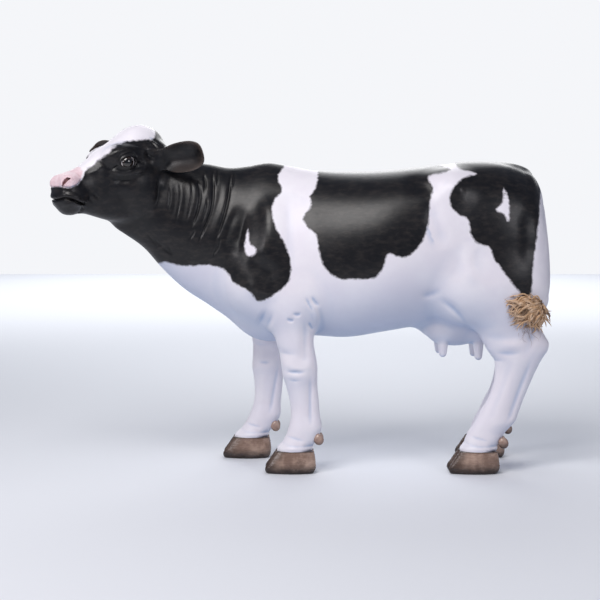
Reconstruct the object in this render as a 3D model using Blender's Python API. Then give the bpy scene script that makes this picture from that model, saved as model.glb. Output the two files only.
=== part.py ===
"""A life-size statue of a young black and white cow, cast in resin and painted.

The cow stands on four hooves on the plane Z = 0, faces -X, and turns its head towards -Y.
The body is blocked out in lofted and round masses, fused into one surface, and parted with thin cuts.
"""

import math

import bmesh
import bpy
import numpy as np
from mathutils import Matrix, Vector

# Driving dimensions, in metres.
GAP = 0.0003
HOOF_HEIGHT = 0.092
STANCE = 0.165
FRONT_FOOT_STEP = -0.212
HIND_FOOT_STEP = 0.085
LEG_SWING_HEIGHT = 1.2
HEAD_YAW = math.radians(38)
HEAD_PITCH = math.radians(17)
HEAD_ORIGIN = (-0.65, -0.07, 1.29)
EYE_RADIUS = 0.0365
FRAME_CENTRE = (0.0373, -0.0290)
CLEFT = 0.007
CLAY_GRAIN = 0.009
BODY_TRIANGLES = 4100

# The cow's left is -Y and its right is +Y.
SIDES = (("left", -1), ("right", 1))

# Sections across the neck and trunk: x, top, bottom, middle y, half width, height of the widest place.
TRUNK_SECTIONS = (
    (-0.81, 1.190, 1.040, -0.130, 0.045, 1.12),
    (-0.74, 1.250, 0.993, -0.092, 0.068, 1.13),
    (-0.66, 1.290, 0.932, -0.075, 0.095, 1.12),
    (-0.60, 1.300, 0.862, -0.062, 0.110, 1.09),
    (-0.50, 1.304, 0.764, -0.042, 0.128, 1.05),
    (-0.40, 1.298, 0.696, -0.025, 0.148, 1.00),
    (-0.30, 1.282, 0.628, -0.010, 0.175, 0.95),
    (-0.22, 1.290, 0.583, 0.0, 0.200, 0.92),
    (-0.14, 1.303, 0.560, 0.0, 0.220, 0.90),
    (-0.05, 1.290, 0.556, 0.0, 0.240, 0.88),
    (0.05, 1.272, 0.558, 0.0, 0.268, 0.88),
    (0.20, 1.264, 0.552, 0.0, 0.300, 0.89),
    (0.36, 1.268, 0.576, 0.0, 0.314, 0.91),
    (0.50, 1.281, 0.600, 0.0, 0.302, 0.95),
    (0.61, 1.294, 0.620, 0.0, 0.288, 0.98),
    (0.72, 1.311, 0.640, 0.0, 0.272, 1.00),
    (0.86, 1.304, 0.665, 0.0, 0.245, 1.00),
    (0.95, 1.276, 0.700, 0.0, 0.210, 1.00),
    (1.01, 1.225, 0.760, 0.0, 0.155, 0.99),
    (1.045, 1.120, 0.850, 0.0, 0.070, 0.98),
)
# How square the trunk's sections are above and below the widest place: x, above, below.
TRUNK_POWERS = (
    (-0.74, 2.0, 2.0),
    (-0.30, 1.8, 1.9),
    (-0.14, 1.6, 2.0),
    (0.20, 2.0, 2.3),
    (0.60, 2.5, 2.2),
    (1.045, 2.4, 2.0),
)
# Sections across a front leg: z, front x, rear x, middle y of the left leg, half width.
FRONT_LEG_SECTIONS = (
    (0.850, -0.165, 0.060, 0.150, 0.075),
    (0.740, -0.158, 0.075, 0.160, 0.080),
    (0.636, -0.134, 0.067, 0.165, 0.072),
    (0.590, -0.111, 0.062, 0.166, 0.065),
    (0.531, -0.096, 0.060, 0.166, 0.058),
    (0.481, -0.082, 0.069, 0.165, 0.054),
    (0.414, -0.073, 0.074, 0.163, 0.054),
    (0.364, -0.061, 0.076, 0.161, 0.047),
    (0.309, -0.046, 0.080, 0.160, 0.041),
    (0.238, -0.039, 0.085, 0.160, 0.040),
    (0.183, -0.048, 0.091, 0.160, 0.048),
    (0.141, -0.066, 0.078, 0.160, 0.049),
    (HOOF_HEIGHT + GAP, -0.098, 0.058, 0.160, 0.056),
)
# Sections across a hind leg, given the same way.
HIND_LEG_SECTIONS = (
    (1.000, 0.640, 0.980, 0.130, 0.080),
    (0.880, 0.590, 1.020, 0.160, 0.105),
    (0.800, 0.560, 1.035, 0.175, 0.108),
    (0.729, 0.580, 1.037, 0.178, 0.098),
    (0.662, 0.660, 1.022, 0.176, 0.080),
    (0.607, 0.722, 1.010, 0.172, 0.064),
    (0.549, 0.765, 1.042, 0.170, 0.054),
    (0.515, 0.780, 1.040, 0.170, 0.050),
    (0.473, 0.808, 1.016, 0.169, 0.047),
    (0.419, 0.816, 0.988, 0.168, 0.041),
    (0.364, 0.808, 0.965, 0.167, 0.038),
    (0.322, 0.796, 0.944, 0.166, 0.037),
    (0.268, 0.764, 0.924, 0.165, 0.039),
    (0.222, 0.738, 0.908, 0.165, 0.045),
    (0.163, 0.704, 0.858, 0.165, 0.045),
    (HOOF_HEIGHT + GAP, 0.672, 0.822, 0.165, 0.056),
)
# Sections across the head, in its own frame: forward, top, bottom, half width, height of the widest place.
HEAD_SECTIONS = (
    (-0.080, 0.132, -0.120, 0.062, 0.00),
    (-0.020, 0.170, -0.180, 0.095, 0.00),
    (0.050, 0.178, -0.212, 0.110, 0.01),
    (0.105, 0.160, -0.216, 0.112, 0.02),
    (0.160, 0.142, -0.204, 0.104, 0.03),
    (0.220, 0.128, -0.188, 0.086, 0.02),
    (0.268, 0.104, -0.164, 0.074, 0.00),
    (0.310, 0.086, -0.136, 0.067, -0.01),
    (0.348, 0.077, -0.112, 0.065, 0.00),
    (0.384, 0.074, -0.102, 0.070, 0.00),
    (0.415, 0.066, -0.098, 0.071, 0.00),
    (0.439, 0.038, -0.082, 0.058, -0.01),
    (0.457, 0.002, -0.056, 0.032, -0.02),
)
HEAD_POWER = 2.25
# Round masses laid on both sides of the body: centre x, y, z and radii.
BODY_MASSES = (
    ((-0.08, 0.140, 0.84), (0.170, 0.105, 0.250)),
    ((-0.19, 0.120, 0.79), (0.110, 0.085, 0.130)),
    ((0.03, 0.160, 0.74), (0.100, 0.080, 0.120)),
    ((0.84, 0.150, 0.92), (0.210, 0.108, 0.290)),
    ((0.68, 0.175, 0.77), (0.130, 0.090, 0.150)),
    ((0.63, 0.175, 1.17), (0.110, 0.075, 0.080)),
    ((0.97, 0.075, 1.14), (0.070, 0.060, 0.080)),
)
HEAD_MASSES = (
    ((0.156, 0.080, 0.068), (0.060, 0.046, 0.054)),
    ((0.115, 0.070, -0.070), (0.085, 0.045, 0.095)),
    ((-0.015, 0.075, 0.040), (0.055, 0.045, 0.055)),
)
# Claws: z, toe and heel from the hoof's middle, half width.
CLAW_LEVELS = (
    (0.0, -0.096, 0.096, 0.0285),
    (0.012, -0.103, 0.104, 0.0305),
    (0.055, -0.082, 0.106, 0.0310),
    (HOOF_HEIGHT, -0.056, 0.098, 0.0280),
)
CLAW_SIDES = 16
TOE_NARROWING = 0.30
INNER_FLATNESS = 1.7
DEWCLAW_RADII = (0.021, 0.016, 0.024)
DEWCLAW_TILT = math.radians(-20)
DEWCLAW_SPREAD = 0.027
# Feet: x and y of the hoof's middle, x and z of the dewclaws, step of the right foot.
FEET = {
    "front": (-0.042, 0.160, 0.078, 0.140, FRONT_FOOT_STEP),
    "hind": (0.723, STANCE, 0.848, 0.126, HIND_FOOT_STEP),
}
# Cuts that part the fused body: the legs by x and height, the rest by two corners.
LEG_CUT_INNER = 0.045
LEG_CUT_OUTER = 0.45
LEG_CUTS = (("front", -0.22, 0.12, 0.66), ("hind", 0.45, 1.15, 0.70))
UDDER_CUT = ((0.45, -0.044, 0.4), (0.95, 0.044, 0.62))
HEAD_CUT = ((-0.055, -0.4, -0.235), (0.7, 0.4, 0.4))
NECK_CUT = ((-0.95, -0.5, 0.4), (-0.33, 0.5, 1.6))

TAIL_HEAD_CENTRE = (0.90, 0.0, 1.245)
TAIL_HEAD_RADII = (0.10, 0.040, 0.048)
UDDER_CENTRE = (0.668, 0.0, 0.60)
UDDER_RADII = (0.140, 0.125, 0.092)
TEAT_RADIUS = 0.021
TEAT_LENGTH = 0.085
TEAT_TOP = 0.54
TEAT_SIDES = 10
# Share of the teat's length, and its width there as a share of the radius.
TEAT_PROFILE = ((0.0, 1.10), (0.25, 1.04), (0.50, 0.98), (0.75, 0.91), (0.88, 0.76), (0.96, 0.50), (1.0, 0.20))
TEATS = (("front", 0.610), ("rear", 0.762))
TEAT_SPREAD = 0.070
EYE_PLACE = (0.150, 0.086, 0.050)
EAR_ROOT = (-0.012, 0.085, 0.012)
EAR_LENGTH = 0.225
EAR_WIDTH = 0.115
EAR_THICKNESS = 0.030
EAR_ROOT_WIDENING = 0.62
EAR_MIDDLE_WIDENING = 0.62
# Sweep back and rise of each ear: the left ear lies back, the right one is pricked forward and up.
EAR_LEANS = {1: (math.radians(26), math.radians(4)), -1: (math.radians(-35), math.radians(25))}
# The tail's middle line: x, y, z and radius.
TAIL_ROUTE = (
    (0.880, 0.000, 1.264, 0.034),
    (0.940, 0.000, 1.250, 0.033),
    (0.992, -0.003, 1.205, 0.031),
    (1.022, -0.008, 1.130, 0.028),
    (1.040, -0.020, 1.020, 0.025),
    (1.048, -0.045, 0.900, 0.023),
    (1.042, -0.095, 0.790, 0.021),
    (1.024, -0.150, 0.735, 0.021),
    (1.004, -0.205, 0.708, 0.020),
)
# The switch, the tuft of hair at the tail's end: middle line and radii across and outward.
SWITCH_ROUTE = (
    (1.016, -0.205, 0.716, 0.024, 0.020),
    (0.992, -0.238, 0.710, 0.054, 0.030),
    (0.955, -0.258, 0.690, 0.078, 0.036),
    (0.905, -0.262, 0.655, 0.072, 0.034),
    (0.865, -0.256, 0.625, 0.042, 0.024),
    (0.835, -0.248, 0.605, 0.012, 0.010),
)

PAINTS = {
    "white paint": ((0.82, 0.80, 0.86, 1.0), 0.32),
    "black paint": ((0.015, 0.015, 0.018, 1.0), 0.32),
    "pink paint": ((0.62, 0.45, 0.46, 1.0), 0.35),
    "hoof paint": ((0.12, 0.065, 0.045, 1.0), 0.40),
    "eye paint": ((0.008, 0.007, 0.007, 1.0), 0.08),
    "hair paint": ((0.40, 0.24, 0.11, 1.0), 0.50),
}


def clear_scene():
    for item in list(bpy.data.objects):
        bpy.data.objects.remove(item, do_unlink=True)


def make_paints():
    """One Principled material for each paint on the statue."""
    made = {}
    for name, (colour, roughness) in PAINTS.items():
        material = bpy.data.materials.new(name)
        material.use_nodes = True
        shader = material.node_tree.nodes["Principled BSDF"]
        shader.inputs["Base Color"].default_value = colour
        shader.inputs["Roughness"].default_value = roughness
        shader.inputs["Metallic"].default_value = 0.0
        made[name] = material
    return made


def link_mesh(name, shape):
    """Turns a bmesh into an object in the scene."""
    bmesh.ops.recalc_face_normals(shape, faces=shape.faces)
    mesh = bpy.data.meshes.new(name)
    shape.to_mesh(mesh)
    shape.free()
    item = bpy.data.objects.new(name, mesh)
    bpy.context.scene.collection.objects.link(item)
    return item


def resample(table, count):
    """Rows read off a smooth curve through the table's rows, at evenly spaced places along it."""
    rows = np.array(table, float)
    along = rows[:, 0] if np.all(np.diff(rows[:, 0]) > 0) else -rows[:, 0]
    places = np.linspace(along[0], along[-1], count)
    slopes = np.gradient(rows, along, axis=0)
    first = np.clip(np.searchsorted(along, places) - 1, 0, len(along) - 2)
    step = (along[first + 1] - along[first])[:, None]
    share = (places - along[first])[:, None] / step
    rest = 1 - share
    start = (1 + 2 * share) * rest**2 * rows[first] + share * rest**2 * step * slopes[first]
    end = share**2 * (3 - 2 * share) * rows[first + 1] - share**2 * rest * step * slopes[first + 1]
    return start + end


def power_point(angle, power):
    """A point of the unit outline between an ellipse (power 2) and a square (a high power)."""
    side, rise = math.cos(angle), math.sin(angle)
    return (
        math.copysign(abs(side) ** (2 / power), side),
        math.copysign(abs(rise) ** (2 / power), rise),
    )


def loft(name, rings):
    """A closed mesh through rings of equal length, with a cap on each end."""
    shape = bmesh.new()
    loops = [[shape.verts.new(point) for point in ring] for ring in rings]
    count = len(loops[0])
    for lower, upper in zip(loops, loops[1:]):
        for i in range(count):
            j = (i + 1) % count
            shape.faces.new((lower[i], lower[j], upper[j], upper[i]))
    shape.faces.new(loops[0])
    shape.faces.new(reversed(loops[-1]))
    return link_mesh(name, shape)


def section_ring(middle, half_width, top, bottom, widest, powers, place, count=32):
    """Points round one section; place() turns across and up distances into a point in space."""
    ring = []
    for i in range(count):
        angle = 2 * math.pi * i / count
        above = math.sin(angle) >= 0
        side, rise = power_point(angle, powers[0] if above else powers[1])
        reach = top - widest if above else widest - bottom
        ring.append(place(middle + half_width * side, widest + reach * rise))
    return ring


def trunk_mass():
    """Neck, chest, barrel and rump in one loft along X."""
    rings = []
    powers = np.array(TRUNK_POWERS)
    for x, top, bottom, middle, half_width, widest in resample(TRUNK_SECTIONS, 60):
        pair = [np.interp(x, powers[:, 0], powers[:, i]) for i in (1, 2)]
        rings.append(
            section_ring(middle, half_width, top, bottom, widest, pair, lambda y, z, x=x: (x, y, z))
        )
    return loft("trunk mass", rings)


def leg_step(z, foot_step):
    """How far a leg's section moves along X when its foot is set forward or back."""
    return foot_step * (1 - z / LEG_SWING_HEIGHT)


def leg_mass(sections, side, foot_step):
    """One leg, lofted downward; side is -1 for the cow's left and 1 for its right."""
    rings = []
    for z, front, rear, middle, half_width in resample(sections, 56):
        step = leg_step(z, foot_step)
        centre = (front + rear) / 2 + step
        half_length = (rear - front) / 2
        ring = []
        for i in range(24):
            along, across = power_point(2 * math.pi * i / 24, 2.2)
            ring.append((centre + half_length * along, side * middle + half_width * across, z))
        rings.append(ring)
    return loft("leg mass", rings)


def head_frame():
    """The head's own axes as a matrix: X forward along the face, Y to its left, Z up through the poll."""
    forward = Vector((-math.cos(HEAD_YAW), -math.sin(HEAD_YAW), 0)) * math.cos(HEAD_PITCH)
    forward += Vector((0, 0, -math.sin(HEAD_PITCH)))
    left = Vector((math.sin(HEAD_YAW), -math.cos(HEAD_YAW), 0))
    up = forward.cross(left)
    matrix = Matrix((forward, left, up)).transposed().to_4x4()
    matrix.translation = Vector(HEAD_ORIGIN)
    return matrix


def head_mass(frame):
    rings = []
    for along, top, bottom, half_width, widest in resample(HEAD_SECTIONS, 40):
        powers = (HEAD_POWER, HEAD_POWER)
        rings.append(
            section_ring(
                0, half_width, top, bottom, widest, powers,
                lambda y, z, x=along: frame @ Vector((x, y, z)),
            )
        )
    return loft("head mass", rings)


def round_mass(name, centre, radii, frame=Matrix(), segments=32):
    """An ellipsoid in the given frame."""
    shape = bmesh.new()
    bmesh.ops.create_uvsphere(shape, u_segments=segments, v_segments=segments // 2, radius=1)
    place = frame @ Matrix.Translation(centre) @ Matrix.Diagonal((*radii, 1))
    bmesh.ops.transform(shape, matrix=place, verts=shape.verts)
    return link_mesh(name, shape)


def both_sides(centre):
    """The centre as given on the cow's left or right: y and its mirror."""
    x, y, z = centre
    return ((x, y, z), (x, -y, z))


def join_objects(name, pieces):
    """Puts the pieces' meshes in one object."""
    shape = bmesh.new()
    for piece in pieces:
        shape.from_mesh(piece.data)
        bpy.data.objects.remove(piece, do_unlink=True)
    mesh = bpy.data.meshes.new(name)
    shape.to_mesh(mesh)
    shape.free()
    item = bpy.data.objects.new(name, mesh)
    bpy.context.scene.collection.objects.link(item)
    return item


def apply_modifiers(item):
    """Replaces the object's mesh with what its modifiers make of it."""
    graph = bpy.context.evaluated_depsgraph_get()
    made = bpy.data.meshes.new_from_object(item.evaluated_get(graph))
    item.modifiers.clear()
    item.data = made


def fuse(item, grain, passes, triangles):
    """Fuses overlapping masses into one smooth skin, like clay, and thins it to about the wanted triangles."""
    remesh = item.modifiers.new("fuse", "REMESH")
    remesh.mode = "VOXEL"
    remesh.voxel_size = grain
    smooth = item.modifiers.new("smooth", "SMOOTH")
    smooth.factor = 0.5
    smooth.iterations = passes
    apply_modifiers(item)
    thin = item.modifiers.new("thin", "DECIMATE")
    thin.ratio = triangles / (2 * len(item.data.polygons))
    apply_modifiers(item)
    item.modifiers.new("triangulate", "TRIANGULATE")
    apply_modifiers(item)
    return item


def block_out_body(frame):
    """Head, neck, trunk, legs and udder as one fused solid."""
    pieces = [trunk_mass(), head_mass(frame)]
    for side in (-1, 1):
        front_step = FRONT_FOOT_STEP if side > 0 else 0.0
        hind_step = HIND_FOOT_STEP if side > 0 else 0.0
        pieces.append(leg_mass(FRONT_LEG_SECTIONS, side, front_step))
        pieces.append(leg_mass(HIND_LEG_SECTIONS, side, hind_step))
    for centre, radii in BODY_MASSES:
        pieces += [round_mass("mass", place, radii) for place in both_sides(centre)]
    for centre, radii in HEAD_MASSES:
        pieces += [round_mass("mass", place, radii, frame) for place in both_sides(centre)]
    pieces.append(round_mass("mass", UDDER_CENTRE, UDDER_RADII))
    pieces.append(round_mass("mass", TAIL_HEAD_CENTRE, TAIL_HEAD_RADII))
    return fuse(join_objects("body", pieces), CLAY_GRAIN, 10, BODY_TRIANGLES)


def box_cutter(name, low, high, frame=Matrix()):
    """A box between two corners, kept out of renders."""
    shape = bmesh.new()
    bmesh.ops.create_cube(shape, size=1)
    size = Vector(high) - Vector(low)
    centre = (Vector(high) + Vector(low)) / 2
    place = frame @ Matrix.Translation(centre) @ Matrix.Diagonal((*size, 1))
    bmesh.ops.transform(shape, matrix=place, verts=shape.verts)
    cutter = link_mesh(name, shape)
    cutter.hide_render = True
    cutter.display_type = "WIRE"
    return cutter


def boolean(item, cutter, operation):
    """Cuts the object, or keeps what it shares with the cutter, and applies the result."""
    modifier = item.modifiers.new(operation.lower(), "BOOLEAN")
    modifier.operation = operation
    modifier.solver = "EXACT"
    modifier.object = cutter
    apply_modifiers(item)


def keep_largest(item):
    """Removes the crumbs that a cut leaves beside the main body."""
    shape = bmesh.new()
    shape.from_mesh(item.data)
    waiting = set(shape.faces)
    groups = []
    while waiting:
        group = set()
        edge_of = [next(iter(waiting))]
        while edge_of:
            face = edge_of.pop()
            if face in group:
                continue
            group.add(face)
            edge_of += [other for edge in face.edges for other in edge.link_faces if other not in group]
        waiting -= group
        groups.append(group)
    largest = max(groups, key=lambda group: sum(face.calc_area() for face in group))
    crumbs = [face for group in groups if group is not largest for face in group]
    bmesh.ops.delete(shape, geom=crumbs, context="FACES")
    shape.to_mesh(item.data)
    shape.free()


def trim(item, *clearances):
    """Cuts the object back from its neighbours."""
    for clearance in clearances:
        boolean(item, clearance, "DIFFERENCE")
    keep_largest(item)


def cleared_copy(item):
    """A cutter of the object's shape, grown by the gap that neighbours keep."""
    cutter = item.copy()
    cutter.data = item.data.copy()
    cutter.name = item.name + " clearance"
    bpy.context.scene.collection.objects.link(cutter)
    grow = cutter.modifiers.new("grow", "DISPLACE")
    grow.strength = 2 * GAP
    grow.mid_level = 0
    apply_modifiers(cutter)
    cutter.hide_render = True
    cutter.display_type = "WIRE"
    return cutter


def part_off(body, name, low, high, frame=Matrix()):
    """Cuts the part of the body inside a box off into its own object, leaving the gap round it."""
    half = Vector((GAP / 2,) * 3)
    piece = body.copy()
    piece.data = body.data.copy()
    piece.name = name
    bpy.context.scene.collection.objects.link(piece)
    keep = box_cutter(name + " keep", Vector(low) + half, Vector(high) - half, frame)
    boolean(piece, keep, "INTERSECT")
    cut = box_cutter(name + " cut", Vector(low) - half, Vector(high) + half, frame)
    boolean(body, cut, "DIFFERENCE")
    for cutter in (keep, cut):
        bpy.data.objects.remove(cutter, do_unlink=True)
    return piece


def claw_ring(z, toe, heel, half_width, inner, side):
    """One level of a claw: flat on the inner side, round at the heel, drawn to a blunt point at the toe."""
    ring = []
    length = heel - toe
    for i in range(CLAW_SIDES):
        angle = 2 * math.pi * i / CLAW_SIDES
        along = (1 - math.cos(angle)) / 2
        bulge = math.sin(angle)
        across = half_width * bulge * (1 - TOE_NARROWING * (1 - along) ** 2)
        if bulge < 0:
            across = half_width * max(bulge * INNER_FLATNESS, -1.0)
        ring.append((toe + length * along, inner + side * (half_width + across), z))
    return ring


def claw(name, middle_x, middle_y, side):
    """One claw of a cloven hoof, given where the hoof's middle stands; side is the way out from the cleft."""
    inner = middle_y + side * CLEFT / 2
    rings = [
        claw_ring(z, middle_x + toe, middle_x + heel, half, inner, side)
        for z, toe, heel, half in CLAW_LEVELS
    ]
    return loft(name, rings)


def dewclaw(name, x, y, z, clearance):
    """One of the two small claws behind the fetlock."""
    tilt = Matrix.Rotation(DEWCLAW_TILT, 4, "Y")
    item = round_mass(name, (0, 0, 0), DEWCLAW_RADII, Matrix.Translation((x, y, z)) @ tilt, 10)
    trim(item, clearance)
    return item


def ear(name, frame, side, clearance):
    """A leaf-shaped ear, hollowed on its front; side is 1 for the cow's left, as in the head's axes."""
    sweep, rise = EAR_LEANS[side]
    lean = Matrix.Rotation(side * sweep, 4, "Z") @ Matrix.Rotation(side * rise, 4, "X")
    place = frame @ Matrix.Translation((EAR_ROOT[0], side * EAR_ROOT[1], EAR_ROOT[2])) @ lean
    middle = (0, side * EAR_LENGTH / 2, 0)
    leaf = round_mass(name, middle, (EAR_THICKNESS, EAR_LENGTH / 2, EAR_WIDTH / 2), place, 16)
    back = place.inverted()
    for vertex in leaf.data.vertices:
        local = back @ vertex.co
        share = min(abs(local.y) / EAR_LENGTH, 1.0)
        local.z *= EAR_ROOT_WIDENING + EAR_MIDDLE_WIDENING * math.sin(math.pi * share) ** 0.8
        vertex.co = place @ local
    hollow_middle = (EAR_THICKNESS * 1.05, side * EAR_LENGTH * 0.56, -0.004)
    hollow = round_mass("hollow", hollow_middle, (EAR_THICKNESS, EAR_LENGTH * 0.40, EAR_WIDTH * 0.36), place, 12)
    boolean(leaf, hollow, "DIFFERENCE")
    bpy.data.objects.remove(hollow, do_unlink=True)
    trim(leaf, clearance)
    return leaf


def teat(name, x, y, clearance):
    """A blunt teat that hangs from the udder."""
    rings = []
    for share, width in TEAT_PROFILE:
        ring = []
        for i in range(TEAT_SIDES):
            angle = 2 * math.pi * i / TEAT_SIDES
            across, along = TEAT_RADIUS * width * math.sin(angle), TEAT_RADIUS * width * math.cos(angle)
            ring.append((x + along, y + across, TEAT_TOP - TEAT_LENGTH * share))
        rings.append(ring)
    item = loft(name, rings)
    trim(item, clearance)
    return item


def tube(name, route, count, sides):
    """A tube along a route whose rows hold a point and one or two radii."""
    rows = np.array(route)
    lengths = np.concatenate([[0], np.cumsum(np.linalg.norm(np.diff(rows[:, :3], axis=0), axis=1))])
    rows = resample(np.column_stack([lengths, rows]), count)[:, 1:]
    rings = []
    across = Vector((0, 1, 0))
    for i, row in enumerate(rows):
        ahead = Vector(rows[min(i + 1, count - 1), :3]) - Vector(rows[max(i - 1, 0), :3])
        ahead.normalize()
        out = (across - ahead * across.dot(ahead)).normalized()
        up = ahead.cross(out)
        up_radius, out_radius = row[3], row[-1]
        ring = []
        for k in range(sides):
            angle = 2 * math.pi * k / sides
            ring.append(Vector(row[:3]) + up * up_radius * math.sin(angle) + out * out_radius * math.cos(angle))
        rings.append(ring)
    return loft(name, rings)


def finish(item, name, paint, paints):
    """Names the piece, paints it and shades it round with its cut edges kept sharp."""
    item.name = name
    item.data.name = name
    item.data.materials.clear()
    item.data.materials.append(paints[paint])
    item.data.shade_smooth()
    item.data.set_sharp_from_angle(angle=math.radians(50))


def centre_on_origin():
    """Moves every piece so that the middle of the statue's box stands over the origin."""
    shift = Matrix.Translation((-FRAME_CENTRE[0], -FRAME_CENTRE[1], 0))
    for item in bpy.data.objects:
        item.data.transform(shift)


def make_head_details(frame, body, clearance, paints):
    """The ears, and the eyes in sockets that are cut for them."""
    for word, y_side in SIDES:
        side = -y_side
        finish(ear(word + "_ear", frame, side, clearance), word + "_ear", "black paint", paints)
        place = (EYE_PLACE[0], side * EYE_PLACE[1], EYE_PLACE[2])
        socket = round_mass("socket", place, (EYE_RADIUS + GAP,) * 3, frame, 16)
        boolean(body, socket, "DIFFERENCE")
        bpy.data.objects.remove(socket, do_unlink=True)
        eye = round_mass(word + "_eye", place, (EYE_RADIUS - GAP,) * 3, frame, 16)
        finish(eye, word + "_eye", "eye paint", paints)


def make_foot(word, pair, side, clearance, paints):
    """The two claws and two dewclaws of one foot."""
    foot_x, foot_y, back_x, back_z, foot_step = FEET[pair]
    step = foot_step if side > 0 else 0.0
    middle_x = foot_x + leg_step(HOOF_HEIGHT, step)
    back = back_x + leg_step(back_z, step)
    for claw_side, claw_word in ((side, "outer"), (-side, "inner")):
        name = f"{word}_{pair}_{claw_word}_claw"
        finish(claw(name, middle_x, side * foot_y, claw_side), name, "hoof paint", paints)
        name = f"{word}_{pair}_{claw_word}_dewclaw"
        y = side * foot_y + claw_side * DEWCLAW_SPREAD
        finish(dewclaw(name, back, y, back_z, clearance), name, "hoof paint", paints)


def make_tail(clearance, paints):
    """The tail and the tuft on its end."""
    tail = tube("tail", TAIL_ROUTE, 24, 8)
    trim(tail, clearance)
    tail_clearance = cleared_copy(tail)
    switch = tube("tail_switch", SWITCH_ROUTE, 12, 12)
    trim(switch, clearance, tail_clearance)
    bpy.data.objects.remove(tail_clearance, do_unlink=True)
    finish(tail, "tail", "white paint", paints)
    finish(switch, "tail_switch", "hair paint", paints)


def part_off_legs(body, paints):
    """Cuts the four legs off the fused body."""
    for word, side in SIDES:
        inner, outer = sorted((side * LEG_CUT_INNER, side * LEG_CUT_OUTER))
        for pair, first_x, last_x, top in LEG_CUTS:
            step = FRONT_FOOT_STEP if pair == "front" and side > 0 else 0.0
            name = f"{word}_{pair}_leg"
            leg = part_off(body, name, (first_x + step, inner, 0.0), (last_x, outer, top))
            finish(leg, name, "white paint", paints)


def main():
    clear_scene()
    paints = make_paints()
    frame = head_frame()
    body = block_out_body(frame)
    clearance = cleared_copy(body)
    make_head_details(frame, body, clearance, paints)
    for word, side in SIDES:
        for place, x in TEATS:
            name = f"{word}_{place}_teat"
            finish(teat(name, x, side * TEAT_SPREAD, clearance), name, "pink paint", paints)
        for pair in FEET:
            make_foot(word, pair, side, clearance, paints)
    make_tail(clearance, paints)
    bpy.data.objects.remove(clearance, do_unlink=True)
    part_off_legs(body, paints)
    finish(part_off(body, "udder", *UDDER_CUT), "udder", "pink paint", paints)
    finish(part_off(body, "head", *HEAD_CUT, frame), "head", "black paint", paints)
    finish(part_off(body, "neck", *NECK_CUT), "neck", "black paint", paints)
    finish(body, "trunk", "white paint", paints)
    centre_on_origin()


main()
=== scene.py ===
# %% [markdown]
# # A life-size painted cow
# The real object is a hollow resin casting of a young black and white cow, sprayed and brushed with
# satin paint. It is one smooth surface, so it can't be put together from separate tubes and balls.
# The lesson models it as a sculptor does: big soft masses first, then legs, then face, folds and
# creases, and the paint last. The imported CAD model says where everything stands.

# %% Load the frame
import math
from concurrent.futures import ThreadPoolExecutor

import bmesh
import bpy
import numpy as np
from mathutils import Matrix, Vector


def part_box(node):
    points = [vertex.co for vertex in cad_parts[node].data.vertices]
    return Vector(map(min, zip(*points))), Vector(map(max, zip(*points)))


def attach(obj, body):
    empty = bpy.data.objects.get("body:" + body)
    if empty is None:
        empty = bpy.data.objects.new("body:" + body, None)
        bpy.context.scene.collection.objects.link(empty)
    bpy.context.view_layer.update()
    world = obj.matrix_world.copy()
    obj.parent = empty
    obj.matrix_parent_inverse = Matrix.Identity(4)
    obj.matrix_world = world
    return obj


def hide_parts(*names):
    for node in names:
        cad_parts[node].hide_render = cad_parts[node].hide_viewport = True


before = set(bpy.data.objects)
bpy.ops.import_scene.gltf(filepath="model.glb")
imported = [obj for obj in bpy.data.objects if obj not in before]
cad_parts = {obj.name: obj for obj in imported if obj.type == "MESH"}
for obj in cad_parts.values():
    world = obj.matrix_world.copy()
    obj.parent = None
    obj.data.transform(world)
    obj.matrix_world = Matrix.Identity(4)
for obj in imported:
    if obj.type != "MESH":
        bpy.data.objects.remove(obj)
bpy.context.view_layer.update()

# %% [markdown]
# ## The sculptor's own measures
# All sizes below are measured from a point on the floor near the middle of the body, with the cow
# facing -X and its left side towards -Y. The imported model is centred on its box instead, so one
# shift carries points from the sculptor's measures to the frame. The left eye checks it: the CAD
# eyeball's box must have its middle where the sculptor's measures put it.

# %% The shift and the head's own axes
FRAME_CENTRE = np.array([0.0373, -0.0290, 0.0])
HEAD_YAW = math.radians(38)
HEAD_PITCH = math.radians(17)
HEAD_ORIGIN = np.array([-0.65, -0.07, 1.29])
EYE_PLACE = np.array([0.150, 0.086, 0.050])
EYE_RADIUS = 0.0365

forward = np.array([-math.cos(HEAD_YAW), -math.sin(HEAD_YAW), 0]) * math.cos(HEAD_PITCH)
forward[2] = -math.sin(HEAD_PITCH)
leftward = np.array([math.sin(HEAD_YAW), -math.cos(HEAD_YAW), 0])
upward = np.cross(forward, leftward)
HEAD_AXES = np.array([forward, leftward, upward])


def head_to_world(points):
    """Carries points from the head's axes (forward, left, up) to the sculptor's measures."""
    return np.asarray(points) @ HEAD_AXES + HEAD_ORIGIN


eye_low, eye_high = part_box("left_eye")
eye_gap = (eye_low + eye_high) / 2 - Vector(head_to_world(EYE_PLACE) - FRAME_CENTRE)
print("left eye is off by", round(eye_gap.length * 1000, 2), "mm")

# %% [markdown]
# ## Clay that has a formula
# Clay could be meta balls, a voxel remesh of overlapping meshes, or a *distance field*: a function
# that tells for any point how far outside the surface it lies. A field is used here because two
# masses flow into each other with a fillet of a chosen width (`smooth_min`), and a crease is just a
# small number added along a line. Later one mesh is wrapped round the place where the field is 0.

# %% Blending helpers
FAR = 1.0


def smooth_min(first, second, width):
    """The nearer of two fields, with a fillet of about the given width where they meet."""
    share = np.clip(0.5 + 0.5 * (second - first) / width, 0, 1)
    return second + (first - second) * share - width * share * (1 - share)


def smooth_max(first, second, width):
    """What two fields share, with a rounded edge."""
    return -smooth_min(-first, -second, width)


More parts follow.
